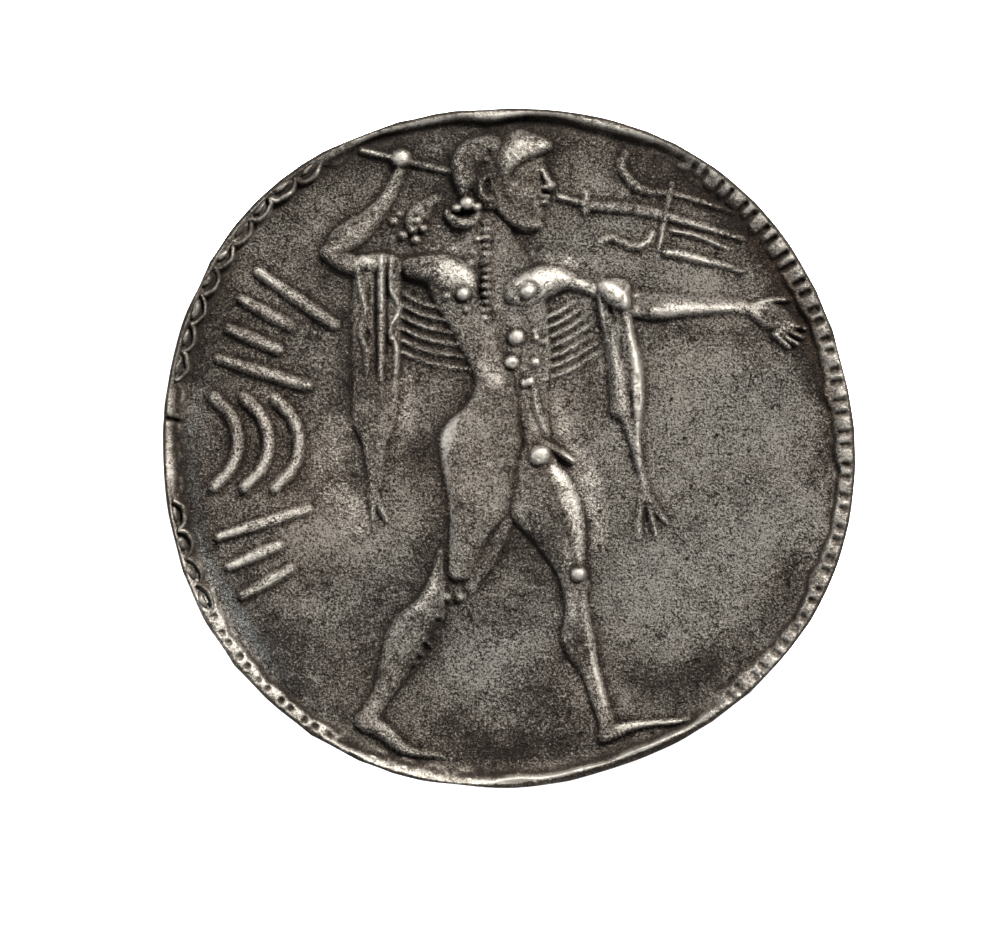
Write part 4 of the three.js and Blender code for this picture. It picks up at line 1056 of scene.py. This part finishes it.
def link_points():
    left = (sharpness(link_at) > LEAST_CRISP) & (filled(link_at) < 0.5)
    at = link_at[left]
    crispness = sharpness(at)
    x, y = on_flan(radius - 0.36, at)
    mesh = bpy.data.meshes.new("link_points")
    mesh.from_pydata(list(zip(x * MM, y * MM, (FIELD + BAND * crispness) * MM)), [], [])
    pitch = np.diff(wrapped) * radius
    pitch = ((pitch + np.roll(pitch, 1)) / 2)[left]
    chance = np.random.default_rng(51)
    count = len(at)
    values = {
        "turn": at + math.pi / 2 + chance.normal(0, 0.05, count),
        "pitch": pitch / DRAWN_PITCH * chance.normal(1, 0.04, count),
        "crisp": crispness * np.clip(chance.normal(0.97, 0.1, count), 0.7, 1.05),
        "strand": np.where(crispness > 0.65, 1, 0),
        "lens_width": chance.normal(1, 0.12, count),
        "lens_length": chance.normal(1, 0.08, count)}
    for name, numbers in values.items():
        mesh.attributes.new(name, "FLOAT", "POINT").data.foreach_set("value", numbers.astype(np.float32))
    piece = bpy.data.objects.new("border_cable", mesh)
    bpy.context.scene.collection.objects.link(piece)
    return piece


cable = link_points()
print("links:", len(cable.data.vertices))

# %% The link tree
def link_tree():
    tree = bpy.data.node_groups.new("cable_links", "GeometryNodeTree")
    face = tree.interface
    face.new_socket("Geometry", in_out="INPUT", socket_type="NodeSocketGeometry")
    sizes = {
        "Link Pitch": DRAWN_PITCH, "Arch": 0.36, "Strand Width": 0.19, "Strand Height": 0.2,
        "Lens Length": 0.78, "Lens Width": 0.3, "Lens Height": 0.24, "Lens Shift": 0.05}
    for name, size in sizes.items():
        socket = face.new_socket(name, in_out="INPUT", socket_type="NodeSocketFloat")
        socket.default_value = size * MM
    face.new_socket("Material", in_out="INPUT", socket_type="NodeSocketMaterial")
    face.new_socket("Geometry", in_out="OUTPUT", socket_type="NodeSocketGeometry")
    given = add_node(tree, "NodeGroupInput")
    result = add_node(tree, "NodeGroupOutput")
    link = tree.links.new

    def sums(how, a, b=0.0):
        return math_node(tree, how, a, b)

    # the strand: a straight line, bent to an arch and given a round section
    line = add_node(tree, "GeometryNodeCurvePrimitiveLine")
    resample = add_node(tree, "GeometryNodeResampleCurve")
    resample.inputs["Count"].default_value = 15
    half_pitch = sums("MULTIPLY", given.outputs["Link Pitch"], 0.5)
    for socket, way in (("Start", -1.0), ("End", 1.0)):
        corner = add_node(tree, "ShaderNodeCombineXYZ")
        link(sums("MULTIPLY", half_pitch, way), corner.inputs["X"])
        link(corner.outputs[0], line.inputs[socket])
    link(line.outputs[0], resample.inputs["Curve"])
    position = add_node(tree, "GeometryNodeInputPosition")
    parts = add_node(tree, "ShaderNodeSeparateXYZ")
    link(position.outputs[0], parts.inputs[0])
    angle = sums("MULTIPLY", sums("DIVIDE", parts.outputs["X"], half_pitch), math.pi / 2)
    arch = sums("MULTIPLY", sums("POWER", sums("MAXIMUM", sums("COSINE", angle), 0.0), 0.6),
        given.outputs["Arch"])
    bend = add_node(tree, "ShaderNodeCombineXYZ")
    link(arch, bend.inputs["Y"])
    shift = add_node(tree, "GeometryNodeSetPosition")
    link(resample.outputs[0], shift.inputs["Geometry"])
    link(bend.outputs[0], shift.inputs["Offset"])
    section = add_node(tree, "GeometryNodeCurvePrimitiveCircle")
    section.inputs["Resolution"].default_value = 10
    link(sums("MULTIPLY", given.outputs["Strand Width"], 0.5), section.inputs["Radius"])
    strand = add_node(tree, "GeometryNodeCurveToMesh")
    strand.inputs["Fill Caps"].default_value = True
    link(shift.outputs[0], strand.inputs["Curve"])
    link(section.outputs[0], strand.inputs["Profile Curve"])
    squash = add_node(tree, "GeometryNodeTransform")
    tall = add_node(tree, "ShaderNodeCombineXYZ")
    tall.inputs["X"].default_value = 1
    tall.inputs["Y"].default_value = 1
    half_width = sums("MULTIPLY", given.outputs["Strand Width"], 0.5)
    link(sums("DIVIDE", given.outputs["Strand Height"], half_width), tall.inputs["Z"])
    link(strand.outputs[0], squash.inputs["Geometry"])
    link(tall.outputs[0], squash.inputs["Scale"])

    # the lens: a round ball, stretched along the rim
    ball = add_node(tree, "GeometryNodeMeshUVSphere")
    ball.inputs["Segments"].default_value = 16
    ball.inputs["Rings"].default_value = 10
    ball.inputs["Radius"].default_value = 1
    stretch = add_node(tree, "GeometryNodeTransform")
    spans = add_node(tree, "ShaderNodeCombineXYZ")
    link(sums("MULTIPLY", given.outputs["Lens Length"], 0.5), spans.inputs["X"])
    link(sums("MULTIPLY", given.outputs["Lens Width"], 0.5), spans.inputs["Y"])
    link(given.outputs["Lens Height"], spans.inputs["Z"])
    outward = add_node(tree, "ShaderNodeCombineXYZ")
    link(sums("MULTIPLY", given.outputs["Lens Shift"], -1.0), outward.inputs["Y"])
    link(outward.outputs[0], stretch.inputs["Translation"])
    link(ball.outputs[0], stretch.inputs["Geometry"])
    link(spans.outputs[0], stretch.inputs["Scale"])

    # one strand and one lens on every point
    def named(name):
        node = add_node(tree, "GeometryNodeInputNamedAttribute", data_type="FLOAT")
        node.inputs["Name"].default_value = name
        return node.outputs["Attribute"]

    join = add_node(tree, "GeometryNodeJoinGeometry")
    for shape, wide, long in ((squash, 1.0, 1.0), (stretch, named("lens_width"), named("lens_length"))):
        place = add_node(tree, "GeometryNodeInstanceOnPoints")
        rotation = add_node(tree, "ShaderNodeCombineXYZ")
        scale = add_node(tree, "ShaderNodeCombineXYZ")
        link(named("turn"), rotation.inputs["Z"])
        link(sums("MULTIPLY", named("pitch"), long), scale.inputs["X"])
        link(sums("MULTIPLY", wide, 1.0), scale.inputs["Y"])
        link(named("crisp"), scale.inputs["Z"])
        link(given.outputs["Geometry"], place.inputs["Points"])
        if shape is squash:
            link(named("strand"), place.inputs["Selection"])
        link(shape.outputs[0], place.inputs["Instance"])
        link(rotation.outputs[0], place.inputs["Rotation"])
        link(scale.outputs[0], place.inputs["Scale"])
        link(place.outputs[0], join.inputs[0])
    real = add_node(tree, "GeometryNodeRealizeInstances")
    paint = add_node(tree, "GeometryNodeSetMaterial")
    link(join.outputs[0], real.inputs[0])
    link(real.outputs[0], paint.inputs["Geometry"])
    link(given.outputs["Material"], paint.inputs["Material"])
    link(paint.outputs[0], result.inputs[0])
    return tree


tree = link_tree()
print(f"link tree: {len(tree.nodes)} nodes")

# %% Set the links on the rim
links_modifier = cable.modifiers.new("links", "NODES")
links_modifier.node_group = tree
inputs = {item.name: item.identifier for item in tree.interface.items_tree if item.in_out == "INPUT"}
links_modifier[inputs["Material"]] = silver
cable_mesh = plain_mesh(cable, "border_cable")
cable_mesh.shade_smooth()
places = np.empty(len(cable_mesh.vertices) * 3, np.float32)
cable_mesh.vertices.foreach_get("co", places)
places = places.reshape(-1, 3) / MM
dents = [0.03 * sample(cloud(0.16, seed), places[:, 0], places[:, 1]) for seed in (52, 53, 54)]
places += np.stack(dents, axis=1)
places[:, 2] = np.minimum(places[:, 2], coin_top)
cable_mesh.vertices.foreach_set("co", (places * MM).astype(np.float32).ravel())
cable_mesh.update()
spot_angle = np.arctan2(places[:, 1] + middle[1], places[:, 0] + middle[0])
kept = np.maximum(sharpness(spot_angle), LEAST_CRISP)
above = (places[:, 2] - FIELD - BAND * kept) / (0.25 * kept)
# dirt and painted shade low on each link, wear and painted highlight on its top
cable_looks = {"grime_and_painted_shade": 0.6 - 0.5 * above, "wear_and_painted_highlight": 0.5 * above, "grain": 0 * above + 0.35}
for name, values in cable_looks.items():
    values = np.clip(values, 0, 1)
    layer = cable_mesh.attributes.new(name, "FLOAT", "POINT")
    layer.data.foreach_set("value", values.astype(np.float32))
print(f"cable: {len(cable_mesh.polygons)} faces, top at {places[:, 2].max():.2f} mm")

# %% [markdown]
# ## The pieces in the coin's place
# Both pieces stand for the measured coin, ride on its one body and take its silver finish.

# %% Ride and replace
for piece in (coin, cable):
    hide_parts("coin")
    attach(piece, "root")
print("pieces:", coin.name, cable.name)

# %% [markdown]
# ## Stage, light and camera
# Coins are photographed from straight above on white, with one small light leaning in from the upper right
# so that the relief throws short shadows, and wide fills so that the metal has something to mirror.

# %% Floor
def floor():
    bpy.ops.mesh.primitive_plane_add(size=1.2, location=(0, 0, 0))
    plane = bpy.context.object
    plane.name = "floor"
    material = bpy.data.materials.new("white_paper")
    material.use_nodes = True
    tree = material.node_tree
    shader = tree.nodes["Principled BSDF"]
    place = add_node(tree, "ShaderNodeTexCoord").outputs["Object"]
    paper = ramp(tree, noise(tree, place, 900), [(0.3, (0.93, 0.93, 0.93)), (0.7, (0.96, 0.96, 0.96))])
    tree.links.new(paper, shader.inputs["Base Color"])
    shader.inputs["Roughness"].default_value = 0.9
    shader.inputs["Emission Color"].default_value = (1, 1, 1, 1)
    shader.inputs["Emission Strength"].default_value = 0.8
    plane.data.materials.append(material)
    return plane


floor()
print("floor laid")

# %% Light
def softbox(name, azimuth, elevation, distance, size, power, colour):
    light = bpy.data.lights.new(name, "AREA")
    light.color = colour
    light.shape = "DISK"
    light.size = size
    light.energy = power
    lamp = bpy.data.objects.new(name, light)
    flat = distance * math.cos(math.radians(elevation))
    lamp.location = (flat * math.cos(math.radians(azimuth)), flat * math.sin(math.radians(azimuth)),
                     distance * math.sin(math.radians(elevation)))
    lamp.rotation_euler = lamp.location.to_track_quat("Z", "Y").to_euler()
    bpy.context.scene.collection.objects.link(lamp)


softbox("key", 58, 40, 0.6, 0.18, 27, (1, 0.98, 0.94))
softbox("fill_left", 170, 16, 0.6, 0.4, 7.5, (0.95, 0.98, 1))
softbox("fill_low", 285, 14, 0.6, 0.5, 4, (1, 1, 1))
world = bpy.data.worlds.new("studio")
world.use_nodes = True
world.node_tree.nodes["Background"].inputs["Color"].default_value = (1, 1, 1, 1)
world.node_tree.nodes["Background"].inputs["Strength"].default_value = 0.22
bpy.context.scene.world = world
bpy.context.scene.view_settings.view_transform = "Standard"
print("lights:", len(bpy.data.lights))

# %% [markdown]
# The lens is long, as for any flat object that has to keep its true outline.

# %% Camera
PICTURE_WIDTH = 1000  # pixels
COIN_PIXELS = 694  # the coin's width in the picture
AIM = (-9, -19.5)  # the picture's middle from the coin's, in pixels
MM_PER_PIXEL = coin_width / COIN_PIXELS
CAMERA_HEIGHT = 420
SENSOR = 36
camera_data = bpy.data.cameras.new("camera")
camera_data.sensor_width = SENSOR
camera_data.lens = SENSOR * (CAMERA_HEIGHT - FIELD - RIM) / (PICTURE_WIDTH * MM_PER_PIXEL)
camera_data.clip_start = 0.01
camera = bpy.data.objects.new("camera", camera_data)
camera.location = (AIM[0] * MM_PER_PIXEL * MM, AIM[1] * MM_PER_PIXEL * MM, CAMERA_HEIGHT * MM)
bpy.context.scene.collection.objects.link(camera)
bpy.context.scene.camera = camera
print(f"lens {camera_data.lens:.0f} mm")
